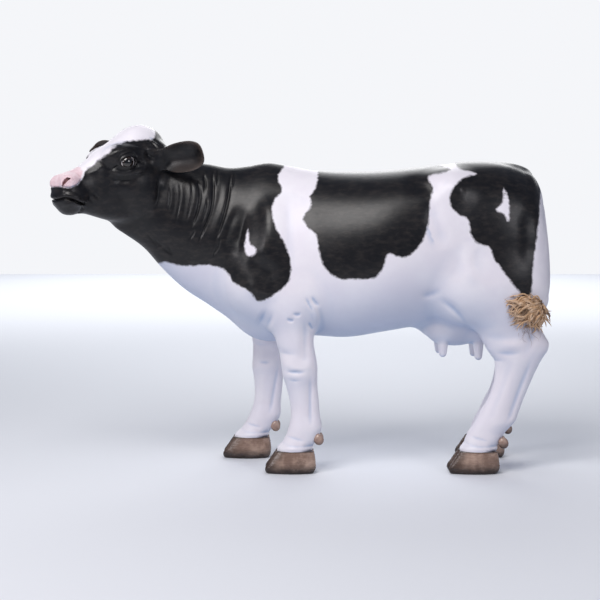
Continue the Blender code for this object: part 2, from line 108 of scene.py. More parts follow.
def resample(rows, count=300):
    """Rows read off a smooth curve through the table's rows, evenly spaced along its first column."""
    rows = np.array(rows, float)
    rows = rows[np.argsort(rows[:, 0])]
    along = rows[:, 0]
    places = np.linspace(along[0], along[-1], count)
    slopes = np.gradient(rows, along, axis=0)
    first = np.clip(np.searchsorted(along, places) - 1, 0, len(along) - 2)
    step = (along[first + 1] - along[first])[:, None]
    share = (places - along[first])[:, None] / step
    rest = 1 - share
    start = (1 + 2 * share) * rest**2 * rows[first] + share * rest**2 * step * slopes[first]
    end = share**2 * (3 - 2 * share) * rows[first + 1] - share**2 * rest * step * slopes[first + 1]
    return start + end


def reader(rows):
    """A function that reads every column of a table at given places along it."""
    fine = resample(rows)

    def read(along):
        return [np.interp(along, fine[:, 0], fine[:, i]) for i in range(1, fine.shape[1])]

    return read


def outline_distance(across, up, power):
    """Distance from a rounded outline whose half sizes are 1, along the ray from its middle."""
    size = (np.abs(across) ** power + np.abs(up) ** power) ** (1 / power)
    return 1 - 1 / np.maximum(size, 1e-5)


# %% [markdown]
# A *loft* runs sections along an axis, as a ship's hull is drawn from its frames. Each section is a
# rounded box: power 2 is an ellipse and higher powers are squarer. A *ball* is a stretched sphere.
# A *tube* follows a route and changes its radius on the way.

# %% Lofts, balls and tubes
class Mass:
    """One lump of clay: its field, the box it fills, and the fillet it joins the others with."""

    def __init__(self, field, low, high, fillet):
        self.field = field
        self.low = np.array(low, float)
        self.high = np.array(high, float)
        self.fillet = fillet


def ball(centre, radii, fillet, axes=None):
    """A stretched sphere, turned to the given axes."""
    centre = np.array(centre, float)
    radii = np.array(radii, float)
    reach = radii if axes is None else np.abs(axes.T) @ radii

    def field(points):
        local = points - centre
        if axes is not None:
            local = local @ axes.T
        near = np.linalg.norm(local / radii, axis=1)
        steep = np.linalg.norm(local / radii**2, axis=1)
        return near * (near - 1) / np.maximum(steep, 1e-6)

    return Mass(field, centre - reach, centre + reach, fillet)


def path_points(route, count):
    """Evenly spaced rows along a smooth curve through the route's rows, with the share run so far."""
    rows = np.array(route, float)
    steps = np.linalg.norm(np.diff(rows[:, :3], axis=0), axis=1)
    lengths = np.concatenate([[0], np.cumsum(steps)]) / steps.sum()
    return resample(np.column_stack([lengths, rows]), count)


def nearest_on_path(points, path, width):
    """Distance to a path of rows (share, coordinates...), and the values there of its other columns."""
    best = np.full(len(points), np.inf)
    values = np.zeros((len(points), path.shape[1] - width))
    columns = [0] + list(range(1 + width, path.shape[1]))
    for start, end in zip(path[:-1], path[1:]):
        run = end[1 : 1 + width] - start[1 : 1 + width]
        share = np.clip((points - start[1 : 1 + width]) @ run / (run @ run), 0, 1)
        gap = np.linalg.norm(points - start[1 : 1 + width] - share[:, None] * run, axis=1)
        closer = gap < best
        best[closer] = gap[closer]
        mixed = start[columns] + share[:, None] * (end[columns] - start[columns])
        values[closer] = mixed[closer]
    return best, values


def tube(route, fillet, count=20):
    """A round tube along a route of rows (x, y, z, radius)."""
    path = path_points(route, count)
    radii = path[:, 4].max()

    def field(points):
        gap, values = nearest_on_path(points, path, 3)
        return gap - values[:, 1]

    return Mass(field, path[:, 1:4].min(0) - radii, path[:, 1:4].max(0) + radii, fillet)


# %% [markdown]
# ## Neck, chest, barrel and rump
# One loft along X makes the whole trunk and neck. Its table gives the top line and the under line
# of the cow as you see it from the side, and how far the body reaches left and right. The neck's
# sections drift towards -Y, because the cow looks round to its left. The withers are peaked
# (power 1.6) and the rump is boxy (power 2.5).

# %% The trunk
# x, top, bottom, middle y, half width, height of the widest place
TRUNK_SECTIONS = (
    (-0.81, 1.190, 1.040, -0.130, 0.045, 1.12),
    (-0.74, 1.250, 0.993, -0.092, 0.068, 1.13),
    (-0.66, 1.290, 0.932, -0.075, 0.095, 1.12),
    (-0.60, 1.300, 0.862, -0.062, 0.110, 1.09),
    (-0.50, 1.304, 0.764, -0.042, 0.128, 1.05),
    (-0.40, 1.298, 0.696, -0.025, 0.148, 1.00),
    (-0.30, 1.282, 0.628, -0.010, 0.175, 0.95),
    (-0.22, 1.290, 0.583, 0.0, 0.200, 0.92),
    (-0.14, 1.303, 0.560, 0.0, 0.220, 0.90),
    (-0.05, 1.290, 0.556, 0.0, 0.240, 0.88),
    (0.05, 1.272, 0.558, 0.0, 0.268, 0.88),
    (0.20, 1.264, 0.552, 0.0, 0.300, 0.89),
    (0.36, 1.268, 0.576, 0.0, 0.314, 0.91),
    (0.50, 1.281, 0.600, 0.0, 0.302, 0.95),
    (0.61, 1.294, 0.620, 0.0, 0.288, 0.98),
    (0.72, 1.308, 0.640, 0.0, 0.272, 1.00),
    (0.86, 1.300, 0.665, 0.0, 0.245, 1.00),
    (0.95, 1.272, 0.700, 0.0, 0.210, 1.00),
    (1.01, 1.225, 0.760, 0.0, 0.155, 0.99),
    (1.045, 1.120, 0.850, 0.0, 0.070, 0.98),
)
# x, power above the widest place, power below it
TRUNK_POWERS = (
    (-0.81, 2.0, 2.0),
    (-0.30, 1.8, 1.9),
    (-0.14, 1.6, 2.0),
    (0.20, 2.0, 2.3),
    (0.60, 2.5, 2.2),
    (1.045, 2.4, 2.0),
)
read_trunk = reader(TRUNK_SECTIONS)
read_powers = reader(TRUNK_POWERS)


def trunk_field(points):
    top, bottom, middle, half, widest = read_trunk(points[:, 0])
    power_up, power_down = read_powers(points[:, 0])
    side = points[:, 1] - middle
    rise = points[:, 2] - widest
    above = rise > 0
    reach = np.where(above, top - widest, widest - bottom)
    power = np.where(above, power_up, power_down)
    distance = outline_distance(side / half, rise / reach, power) * np.hypot(side, rise)
    ends = np.maximum(TRUNK_SECTIONS[0][0] - points[:, 0], points[:, 0] - TRUNK_SECTIONS[-1][0])
    return smooth_max(distance, ends, 0.05)


trunk = Mass(trunk_field, (-0.81, -0.33, 0.54), (1.05, 0.33, 1.32), 0.03)

# Round masses that lie on both sides: centre and radii.
BODY_MASSES = (
    ((-0.08, 0.138, 0.85), (0.165, 0.108, 0.260)),
    ((-0.19, 0.118, 0.79), (0.105, 0.088, 0.125)),
    ((0.02, 0.165, 0.735), (0.085, 0.080, 0.100)),
    ((0.84, 0.150, 0.92), (0.205, 0.110, 0.280)),
    ((0.68, 0.178, 0.77), (0.120, 0.090, 0.150)),
    ((0.63, 0.178, 1.175), (0.085, 0.070, 0.070)),
    ((0.965, 0.080, 1.14), (0.060, 0.060, 0.080)),
)
masses = [trunk]
for (x, y, z), radii in BODY_MASSES:
    for side in (-1, 1):
        masses.append(ball((x, side * y, z), radii, 0.07))
masses.append(ball((0.91, 0, 1.250), (0.085, 0.036, 0.042), 0.05))
masses.append(ball((-0.14, 0, 0.66), (0.12, 0.075, 0.115), 0.08))
print("trunk masses:", len(masses))

# %% [markdown]
# ## Legs
# A leg is a loft along Z, read from the side: where its front and its back edge lie at each height,
# and how thick it is from left to right. The right legs are the left ones swung about the shoulder
# or hip, so that the right front foot stands a step ahead and the right hind foot a little behind.

# %% The four legs
HOOF_HEIGHT = 0.092
LEG_SWING_HEIGHT = 1.2
FRONT_FOOT_STEP = -0.212
HIND_FOOT_STEP = 0.085
# z, front x, rear x, middle y of the leg, half width
FRONT_LEG_SECTIONS = (
    (0.850, -0.165, 0.060, 0.150, 0.075),
    (0.740, -0.158, 0.075, 0.160, 0.082),
    (0.670, -0.142, 0.072, 0.164, 0.078),
    (0.600, -0.114, 0.060, 0.166, 0.066),
    (0.531, -0.096, 0.058, 0.166, 0.058),
    (0.481, -0.083, 0.067, 0.165, 0.053),
    (0.440, -0.077, 0.073, 0.164, 0.056),
    (0.405, -0.073, 0.073, 0.163, 0.054),
    (0.364, -0.060, 0.073, 0.161, 0.045),
    (0.309, -0.045, 0.078, 0.160, 0.039),
    (0.238, -0.038, 0.084, 0.160, 0.039),
    (0.190, -0.047, 0.091, 0.160, 0.048),
    (0.141, -0.066, 0.076, 0.160, 0.048),
    (0.110, -0.088, 0.060, 0.160, 0.054),
    (0.085, -0.101, 0.060, 0.160, 0.059),
)
HIND_LEG_SECTIONS = (
    (1.000, 0.640, 0.980, 0.130, 0.080),
    (0.880, 0.590, 1.020, 0.160, 0.105),
    (0.800, 0.560, 1.035, 0.175, 0.108),
    (0.729, 0.580, 1.037, 0.178, 0.098),
    (0.662, 0.660, 1.020, 0.176, 0.080),
    (0.607, 0.722, 1.006, 0.172, 0.064),
    (0.570, 0.752, 1.026, 0.170, 0.056),
    (0.545, 0.766, 1.040, 0.170, 0.054),
    (0.515, 0.782, 1.038, 0.170, 0.051),
    (0.473, 0.810, 1.012, 0.169, 0.047),
    (0.419, 0.817, 0.984, 0.168, 0.040),
    (0.364, 0.808, 0.960, 0.167, 0.036),
    (0.300, 0.783, 0.933, 0.166, 0.036),
    (0.250, 0.752, 0.915, 0.165, 0.041),
    (0.215, 0.734, 0.902, 0.165, 0.046),
    (0.163, 0.702, 0.856, 0.165, 0.045),
    (0.120, 0.682, 0.832, 0.165, 0.051),
    (0.085, 0.665, 0.826, 0.165, 0.059),
)


def leg(sections, side, foot_step):
    """One leg; side is -1 for the cow's left and 1 for its right."""
    read = reader(sections)
    low, high = sections[-1][0], sections[0][0]

    def field(points):
        front, rear, middle, half = read(points[:, 2])
        step = foot_step * (1 - points[:, 2] / LEG_SWING_HEIGHT)
        length = (rear - front) / 2
        along = points[:, 0] - (front + rear) / 2 - step
        across = points[:, 1] - side * middle
        distance = outline_distance(along / length, across / half, 2.15) * np.hypot(along, across)
        distance = smooth_max(distance, low - points[:, 2], 0.012)
        return smooth_max(distance, points[:, 2] - high, 0.10)

    table = np.array(sections)
    steps = (foot_step * (1 - low / LEG_SWING_HEIGHT), foot_step * (1 - high / LEG_SWING_HEIGHT))
    out = sorted((side * 0.03, side * 0.30))
    corner_low = (table[:, 1].min() + min(0, *steps), out[0], low)
    corner_high = (table[:, 2].max() + max(0, *steps), out[1], high)
    return Mass(field, corner_low, corner_high, 0.045)


for side in (-1, 1):
    masses.append(leg(FRONT_LEG_SECTIONS, side, FRONT_FOOT_STEP if side > 0 else 0))
    masses.append(leg(HIND_LEG_SECTIONS, side, HIND_FOOT_STEP if side > 0 else 0))

# %% [markdown]
# ## Udder and tail
# A young cow's udder is small: one soft mass between the thighs, four quarters, and a short blunt
# teat under each. The tail is a tube that lies on the rump, hangs down and swings round to the left
# thigh, where its tuft is moulded on.

# %% Udder, teats and tail
TEAT_SPREAD = 0.070
TEATS = ((0.610, 0.487), (0.762, 0.474))
TAIL_ROUTE = (
    (0.860, 0.000, 1.262, 0.032),
    (0.940, 0.000, 1.250, 0.033),
    (0.992, -0.003, 1.205, 0.031),
    (1.022, -0.008, 1.130, 0.028),
    (1.040, -0.020, 1.020, 0.025),
    (1.048, -0.045, 0.900, 0.023),
    (1.042, -0.095, 0.790, 0.021),
    (1.024, -0.150, 0.735, 0.020),
    (1.004, -0.205, 0.708, 0.018),
)
masses.append(ball((0.668, 0, 0.605), (0.140, 0.120, 0.092), 0.080))
for x, tip in TEATS:
    for side in (-1, 1):
        masses.append(ball((x, side * 0.058, 0.590), (0.062, 0.052, 0.062), 0.03))
        y = side * TEAT_SPREAD
        masses.append(tube(((x, y, 0.56, 0.024), (x, y, 0.52, 0.0215), (x, y, tip, 0.0165)), 0.012, 4))
masses.append(tube(TAIL_ROUTE, 0.016, 26))

# %% [markdown]
# ## The head
# The head is turned to the cow's left and points down a little, so it gets axes of its own: `f`
# forward along the face, `l` to the cow's left and `u` up. Its loft runs from the poll to the lips.
# Round masses add the bony rim over each eye, the cheeks and the place where the ears grow.

# %% The head
# f, top, bottom, half width, height of the widest place
HEAD_SECTIONS = (
    (-0.080, 0.132, -0.120, 0.062, 0.00),
    (-0.020, 0.170, -0.180, 0.095, 0.00),
    (0.050, 0.177, -0.212, 0.108, 0.01),
    (0.105, 0.158, -0.214, 0.108, 0.02),
    (0.160, 0.138, -0.202, 0.098, 0.02),
    (0.220, 0.122, -0.184, 0.082, 0.01),
    (0.268, 0.100, -0.160, 0.071, 0.00),
    (0.310, 0.084, -0.134, 0.064, -0.01),
    (0.348, 0.076, -0.112, 0.063, 0.00),
    (0.384, 0.074, -0.102, 0.069, 0.00),
    (0.415, 0.065, -0.098, 0.069, 0.00),
    (0.439, 0.038, -0.084, 0.056, -0.01),
    (0.457, 0.002, -0.056, 0.031, -0.02),
)
HEAD_POWER = 2.3
read_head = reader(HEAD_SECTIONS)


def to_head(points):
    """Carries points from the sculptor's measures to the head's axes."""
    return (points - HEAD_ORIGIN) @ HEAD_AXES.T


def world_box(low, high):
    """The box in the sculptor's measures that holds a box given in the head's axes."""
    corners = [(f, l, u) for f in (low[0], high[0]) for l in (low[1], high[1]) for u in (low[2], high[2])]
    corners = head_to_world(corners)
    return corners.min(0), corners.max(0)


def head_field(points):
    local = to_head(points)
    top, bottom, half, widest = read_head(local[:, 0])
    rise = local[:, 2] - widest
    reach = np.where(rise > 0, top - widest, widest - bottom)
    size = np.hypot(local[:, 1], rise)
    distance = outline_distance(local[:, 1] / half, rise / reach, HEAD_POWER) * size
    ends = np.maximum(HEAD_SECTIONS[0][0] - local[:, 0], local[:, 0] - HEAD_SECTIONS[-1][0])
    return smooth_max(distance, ends, 0.02)


masses.append(Mass(head_field, *world_box((-0.08, -0.12, -0.22), (0.46, 0.12, 0.18)), 0.035))

# Masses on both sides of the head: centre, radii and fillet, in the head's axes.
HEAD_MASSES = (
    ((0.152, 0.074, 0.066), (0.060, 0.042, 0.050), 0.030),
    ((0.100, 0.066, -0.075), (0.085, 0.046, 0.100), 0.040),
    ((-0.015, 0.075, 0.040), (0.055, 0.045, 0.055), 0.030),
    ((0.186, 0.072, 0.092), (0.045, 0.024, 0.022), 0.040),
    ((0.400, 0.045, 0.036), (0.036, 0.028, 0.032), 0.020),
    ((0.395, 0.046, -0.030), (0.050, 0.030, 0.032), 0.025),
)
for (f, l, u), radii, fillet in HEAD_MASSES:
    for side in (-1, 1):
        masses.append(ball(head_to_world((f, side * l, u)), radii, fillet, HEAD_AXES))

# %% [markdown]
# ## Ears
# A cow's ear is a wide leaf that is rolled into a cup and grows sideways out of the head. Here it is
# a sheet with a rounded outline, a little wider towards the tip, whose middle is pressed back into a
# cup. The wall keeps one thickness, as cast resin has to, and only the root is thicker.

# %% The ears
EAR_ROOT = np.array([-0.012, 0.085, 0.012])
EAR_LENGTH = 0.222
EAR_HALF_WIDTH = 0.0780
EAR_WALL = 0.0055
EAR_CUP = 0.030
EAR_POWER = 2.35
# The right ear is pricked forward and up; the left one lies back.
EAR_SWEEPS = {1: math.radians(26), -1: math.radians(-35)}
EAR_RISES = {1: math.radians(0), -1: math.radians(25)}


def ear_axes(side):
    """Axes of one ear in the sculptor's measures: out of its hollow, along it to the tip, and up."""
    lean = Matrix.Rotation(side * EAR_SWEEPS[side], 3, "Z") @ Matrix.Rotation(side * EAR_RISES[side], 3, "X")
    return np.array(lean).T @ HEAD_AXES


def ear_local(points, side):
    """Points in the ear's axes, with the way along it counted from the root on both sides."""
    root = head_to_world(EAR_ROOT * (1, side, 1))
    local = (points - root) @ ear_axes(side).T
    local[:, 1] *= side
    return local


def ear(side):
    """One ear; side is 1 for the cow's left and -1 for its right, as in the head's axes."""

    def field(points):
        out, along, up = ear_local(points, side).T
        share = along / EAR_LENGTH
        half = EAR_HALF_WIDTH * (0.74 + 0.18 * np.clip(share, 0, 1))
        length = 2 * share - 1
        size = np.hypot(length * EAR_LENGTH / 2, up)
        outline = outline_distance(length, up / half, EAR_POWER) * size
        middle = np.clip(1 - (up / half) ** 2, 0, 1) * np.clip(1 - length**4, 0, 1)
        sheet = np.abs(out + EAR_CUP * (middle - 0.35)) - EAR_WALL - 0.014 * np.clip(1 - share, 0, 1) ** 5
        return smooth_max(outline, 0.75 * sheet, 0.007)

    corners = [(f, l, u) for f in (-0.045, 0.045) for l in (-0.01, EAR_LENGTH) for u in (-0.08, 0.08)]
    corners = np.array(corners) * (1, side, 1) @ ear_axes(side) + head_to_world(EAR_ROOT * (1, side, 1))
    return Mass(field, corners.min(0), corners.max(0), 0.016)


for side in (-1, 1):
    masses.append(ear(side))
print("masses in all:", len(masses))

# %% [markdown]
# ## Eyes in their lids
# Each eye is a glass-smooth ball of its own. The skin round it is a slightly larger shell, out of
# which an almond is cut: wide along the eye, lower under it than over it. The front corner of a
# cow's eye sits a little lower than the back one, so the almond is turned.

# %% Eyelids
LID_THICKNESS = 0.0042
ALMOND_TILT = math.radians(7)
ALMOND_HALF_WIDTH = 0.0350
ALMOND_OVER = 0.0225
ALMOND_UNDER = 0.0190


def eye_local(points, side):
    """Points from the eye's middle: forward along the slit, outward, and up across the slit."""
    local = to_head(points) * (1, side, 1) - EYE_PLACE
    cos, sin = math.cos(ALMOND_TILT), math.sin(ALMOND_TILT)
    along = cos * local[:, 0] + sin * local[:, 2]
    across = cos * local[:, 2] - sin * local[:, 0]
    return along, local[:, 1], across


def almond_reach(along, across):
    """1 on the edge of the opening between the lids, less inside it."""
    tall = np.where(across > 0, ALMOND_OVER, ALMOND_UNDER)
    return np.sqrt((along / ALMOND_HALF_WIDTH) ** 2 + (across / tall) ** 2)


def add_lids(points, distance, side):
    """Lays the shell of the lids over one eye and cuts the almond out of it."""
    along, out, across = eye_local(points, side)
    shell = np.sqrt(along**2 + out**2 + across**2) - EYE_RADIUS - LID_THICKNESS
    distance = smooth_min(distance, shell, 0.012)
    opening = (almond_reach(along, across) - 1) * 0.020
    opening = smooth_max(opening, 0.005 - out, 0.004)
    return smooth_max(distance, -opening, 0.0030)


# %% [markdown]
# ## Folds, creases and ridges
# The sculptor's last pass is lines: wrinkles across the turned neck, the ridge under the eye, the
# slit of the mouth. Each one is a *stroke*: a route drawn as seen from the side, a width, and a
# height that is positive for a ridge and negative for a crease. It is added to the field as a soft
# bump, so it is real shape in the mesh.

# %% Strokes
def ease(values, low, high):
    """0 below low, 1 above high and a smooth ramp between."""
    share = np.clip((values - low) / (high - low), 0, 1)
    return share * share * (3 - 2 * share)


class Stroke:
    """A soft ridge or crease along a route drawn in a side view."""

    def __init__(self, route, height, width, on_head=False, side=-1, taper=0.18):
        rows = np.column_stack([route, np.zeros(len(route))])
        self.path = path_points(rows, 4 * len(route))[:, [0, 1, 2]]
        self.height = height
        self.width = width
        self.on_head = on_head
        self.side = side
        self.taper = taper
        reach = 3 * width
        low = self.path[:, 1:].min(0) - reach
        high = self.path[:, 1:].max(0) + reach
        out = (0, 0.30) if side > 0 else (-0.30, 0)
        if side == 0:
            out = (-0.30, 0.30)
        if on_head:
            self.low, self.high = world_box((low[0], out[0], low[1]), (high[0], out[1], high[1]))
        else:
            self.low, self.high = np.array((low[0], out[0], low[1])), np.array((high[0], out[1], high[1]))

    def shape(self, points):
        """Height of the stroke at each point, from 0 to 1."""
        local = to_head(points) if self.on_head else points
        gap, values = nearest_on_path(local[:, [0, 2]], self.path, 2)
        share = values[:, 0]
        fade = ease(share, -0.001, self.taper) * ease(1 - share, -0.001, self.taper)
        if self.side:
            fade = fade * ease(self.side * local[:, 1], 0.005, 0.035)
        return np.exp(-((gap / self.width) ** 2)) * fade


strokes = []


def draw(routes, height, width, on_head=False, sides=(-1,), taper=0.18):
    """Adds one stroke for each route and side."""
    for route in routes:
        for side in sides:
            strokes.append(Stroke(route, height, width, on_head, side, taper))


# %% [markdown]
# The neck's skin is bunched on the left, where the head is turned to, and stretched smooth on the
# right. The folds run down and forward from the crest. Behind the elbow and along the flank the
# skin is loose and makes small tucks.

# %% Neck, elbow and flank
DEEP_NECK_FOLDS = (
    ((-0.436, 1.228), (-0.421, 1.163), (-0.427, 1.105), (-0.459, 1.011)),
    ((-0.376, 1.290), (-0.367, 1.187), (-0.371, 1.105), (-0.406, 1.011), (-0.436, 0.944)),
    ((-0.295, 1.275), (-0.301, 1.163), (-0.319, 1.070), (-0.342, 0.999), (-0.362, 0.948)),
)
NECK_FOLDS = (
    ((-0.551, 1.215), (-0.545, 1.150), (-0.556, 1.080)),
    ((-0.511, 1.236), (-0.503, 1.163), (-0.511, 1.095), (-0.530, 1.020)),
    ((-0.467, 1.246), (-0.455, 1.190), (-0.463, 1.100), (-0.487, 1.020)),
    ((-0.412, 1.270), (-0.401, 1.210), (-0.404, 1.150)),
    ((-0.390, 1.165), (-0.394, 1.100), (-0.421, 1.020)),
    ((-0.437, 1.025), (-0.450, 0.995), (-0.468, 0.965)),
    ((-0.358, 1.285), (-0.351, 1.230), (-0.354, 1.190)),
    ((-0.283, 1.270), (-0.284, 1.220), (-0.292, 1.170)),
    ((-0.330, 0.990), (-0.346, 0.940), (-0.372, 0.892)),
)
BROAD_NECK_FOLDS = (
    ((-0.530, 1.225), (-0.525, 1.130), (-0.545, 1.040)),
    ((-0.485, 1.235), (-0.482, 1.130), (-0.505, 1.010)),
    ((-0.336, 1.250), (-0.338, 1.150), (-0.372, 1.040), (-0.400, 0.960)),
    ((-0.262, 1.120), (-0.300, 1.010), (-0.322, 0.925)),
    ((-0.225, 1.105), (-0.250, 0.990), (-0.262, 0.890)),
)
DEWLAP_FOLDS = (
    ((-0.652, 1.004), (-0.630, 0.978), (-0.606, 0.950), (-0.600, 0.925)),
    ((-0.618, 0.985), (-0.592, 0.952), (-0.570, 0.940)),
    ((-0.590, 0.938), (-0.562, 0.928), (-0.545, 0.905)),
    ((-0.566, 0.952), (-0.545, 0.925), (-0.540, 0.895)),
)
ELBOW_FOLDS = (
    ((0.020, 0.745), (0.040, 0.703), (0.064, 0.668)),
    ((0.044, 0.748), (0.064, 0.716), (0.085, 0.700)),
    ((-0.034, 0.674), (-0.010, 0.665), (0.008, 0.676)),
    ((-0.060, 0.650), (-0.036, 0.641), (-0.020, 0.646)),
    ((0.034, 0.640), (0.044, 0.615), (0.058, 0.594)),
)
ELBOW_RIDGE = ((0.004, 0.708), (0.035, 0.706), (0.062, 0.678), (0.070, 0.636), (0.060, 0.592))
FLANK_FOLDS = (
    ((0.560, 0.745), (0.605, 0.715), (0.645, 0.680), (0.680, 0.640), (0.705, 0.600)),
    ((0.480, 0.742), (0.540, 0.752), (0.590, 0.770)),
)
draw(DEEP_NECK_FOLDS, -0.0065, 0.0056, taper=0.3)
draw(DEEP_NECK_FOLDS, -0.0035, 0.0170, taper=0.4)
draw(NECK_FOLDS, -0.0040, 0.0056, taper=0.45)
draw(BROAD_NECK_FOLDS, -0.0050, 0.0150, taper=0.45)
draw(DEEP_NECK_FOLDS, -0.0030, 0.0100, sides=(1,), taper=0.4)
draw(DEWLAP_FOLDS, -0.0055, 0.0075, taper=0.4)
draw(ELBOW_FOLDS, -0.0042, 0.0080, sides=(-1, 1), taper=0.45)
draw([ELBOW_RIDGE], 0.0060, 0.0150, sides=(-1, 1), taper=0.45)
draw(FLANK_FOLDS[:1], -0.0070, 0.0160, sides=(-1, 1), taper=0.45)
draw(FLANK_FOLDS[1:], -0.0035, 0.0160, sides=(-1, 1), taper=0.45)

# %% [markdown]
# Muscles and bones show under the coat as long soft ridges and hollows: the blade and the arm bone
# over the shoulder, the last ribs, the haunch in front of the hip, the long groove up the thigh.

# %% Muscles and bones
SOFT_RIDGES = (
    ((-0.160, 1.200), (-0.135, 1.080), (-0.140, 0.960), (-0.190, 0.850)),
    ((-0.240, 0.800), (-0.170, 0.760), (-0.090, 0.735)),
    ((0.600, 1.215), (0.640, 1.190), (0.690, 1.185)),
    ((0.700, 0.980), (0.690, 0.880), (0.720, 0.780)),
)
SOFT_HOLLOWS = (
    ((-0.060, 1.180), (-0.045, 1.060), (-0.040, 0.940), (-0.020, 0.820)),
    ((-0.250, 1.140), (-0.255, 1.020), (-0.285, 0.910)),
    ((-0.215, 0.905), (-0.150, 0.850), (-0.070, 0.830)),
    ((0.530, 1.150), (0.560, 1.040), (0.600, 0.930)),
    ((0.420, 1.200), (0.520, 1.190), (0.580, 1.150)),
    ((0.930, 1.120), (0.935, 0.980), (0.930, 0.840)),
    ((-0.180, 0.660), (-0.140, 0.640), (-0.105, 0.625)),
)
draw(SOFT_RIDGES, 0.007, 0.030, sides=(-1, 1), taper=0.35)
draw(SOFT_HOLLOWS, -0.008, 0.034, sides=(-1, 1), taper=0.35)

# %% [markdown]
# The face carries the finest work: a brow that shades the eye, a bony ridge under it that catches
# the light, a fold at the corner of the mouth, nostrils shaped like commas, and a chin that stands
# apart from the lip.

# %% Face
BOTH = (-1, 1)
BROW = ((0.226, 0.078), (0.200, 0.101), (0.165, 0.110), (0.115, 0.106), (0.060, 0.082))
UNDER_EYE_RIDGE = ((0.255, 0.020), (0.222, 0.024), (0.172, 0.006), (0.118, -0.001), (0.060, 0.006))
UNDER_EYE_GROOVE = ((0.235, 0.000), (0.205, -0.010), (0.167, -0.022), (0.125, -0.030))
LID_FOLD_OVER = ((0.200, 0.052), (0.184, 0.074), (0.150, 0.086), (0.116, 0.078), (0.100, 0.052))
LID_FOLD_UNDER = ((0.190, 0.036), (0.162, 0.020), (0.130, 0.020), (0.104, 0.034))
TEAR_GROOVE = ((0.182, 0.050), (0.200, 0.046), (0.222, 0.036))
BACK_CORNER = ((0.112, 0.042), (0.092, 0.034), (0.070, 0.022))
TEMPLE_HOLLOW = ((0.070, 0.066), (0.040, 0.050), (0.020, 0.020))
NOSE_BONE = ((0.330, 0.045), (0.280, 0.050), (0.235, 0.062))
CHEEK_EDGE = ((0.030, -0.030), (0.040, -0.080), (0.060, -0.135), (0.100, -0.180))
JAW_LINE = ((0.110, -0.188), (0.180, -0.176), (0.260, -0.142), (0.345, -0.098))
JAW_HOLLOW = ((0.150, -0.110), (0.210, -0.090), (0.280, -0.075))
MOUTH = ((0.470, -0.030), (0.446, -0.018), (0.419, -0.034), (0.388, -0.055), (0.352, -0.068))
UPPER_LIP = ((0.470, -0.016), (0.446, -0.004), (0.415, -0.018), (0.380, -0.038))
LOWER_LIP = ((0.455, -0.044), (0.430, -0.044), (0.400, -0.058), (0.372, -0.072))
CHIN_NOTCH = ((0.385, -0.100), (0.378, -0.088), (0.366, -0.078))
LIP_FOLDS = (
    ((0.345, -0.045), (0.330, -0.062), (0.322, -0.082)),
    ((0.322, -0.030), (0.308, -0.050), (0.300, -0.072)),
)
PAD_EDGE = ((0.452, 0.040), (0.440, 0.030), (0.411, 0.018), (0.380, 0.022), (0.346, 0.039))
CROWN_FOLDS = (
    ((0.010, 0.125), (-0.012, 0.100), (-0.022, 0.070)),
    ((0.032, 0.118), (0.008, 0.092), (0.000, 0.060)),
)
MIDDLE = (0,)
# routes, height, width, sides, taper
FACE_STROKES = (
    ([BROW], 0.0075, 0.0120, BOTH, 0.3),
    ([UNDER_EYE_RIDGE], 0.0100, 0.0120, BOTH, 0.35),
    ([UNDER_EYE_GROOVE], -0.0060, 0.0140, BOTH, 0.5),
    ([LID_FOLD_OVER], -0.0032, 0.0034, BOTH, 0.18),
    ([LID_FOLD_UNDER], -0.0024, 0.0032, BOTH, 0.18),
    ([TEAR_GROOVE, BACK_CORNER], -0.0042, 0.0050, BOTH, 0.4),
    ([TEMPLE_HOLLOW], -0.0080, 0.0160, BOTH, 0.45),
    ([NOSE_BONE], 0.0040, 0.0110, BOTH, 0.45),
    ([CHEEK_EDGE], -0.0070, 0.0150, BOTH, 0.45),
    ([JAW_LINE], 0.0050, 0.0130, BOTH, 0.45),
    ([JAW_HOLLOW], -0.0050, 0.0220, BOTH, 0.5),
    ([MOUTH], -0.0105, 0.0040, MIDDLE, 0.12),
    ([UPPER_LIP], 0.0050, 0.0100, MIDDLE, 0.2),
    ([LOWER_LIP], 0.0050, 0.0080, MIDDLE, 0.2),
    ([CHIN_NOTCH], -0.0060, 0.0080, MIDDLE, 0.18),
    (LIP_FOLDS, -0.0030, 0.0070, BOTH, 0.45),
    ([PAD_EDGE], -0.0030, 0.0034, MIDDLE, 0.1),
    (CROWN_FOLDS, -0.0045, 0.0070, BOTH, 0.45),
)
for routes, height, width, sides, taper in FACE_STROKES:
    draw(routes, height, width, True, sides, taper)
print("strokes:", len(strokes))

# %% [markdown]
# The nostrils are cut, not drawn: two short bent tubes that go in and back, with a raised rim. The
# groove down the middle of the nose pad parts its two halves.

# %% Nostrils
NOSTRIL = ((0.426, 0.042, 0.028), (0.420, 0.050, 0.042), (0.405, 0.054, 0.050), (0.388, 0.056, 0.043))
NOSTRIL_OPENING = np.array([0.0035, 0.0075, 0.0010])
NOSTRIL_RADII = (0.0055, 0.0085, 0.0080, 0.0045)


def nostril(side):
    """The hollow of one nostril and the rim round it."""
    outer = head_to_world((np.array(NOSTRIL) + NOSTRIL_OPENING) * (1, side, 1))
    hollow = tube(np.column_stack([outer, NOSTRIL_RADII]), 0, 6)
    middles = head_to_world(np.array(NOSTRIL) * (1, side, 1))
    rim = tube(np.column_stack([middles, np.array(NOSTRIL_RADII) + 0.0030]), 0.014, 6)
    return hollow, rim


nostrils = [nostril(side) for side in BOTH]
masses += [rim for hollow, rim in nostrils]

# %% [markdown]
# ## Knees, hocks and feet
# What a leg shows is the same on the left and the right, so it is written once, in the leg's own
# measures: `x` from the leg's swing, `out` from the leg's middle away from the body, and height.
# The knee is a box with two small creases below it. The tendon stands behind the cannon bone with
# a groove between. Just over the hoof the skin swells and is parted in front, between the claws.

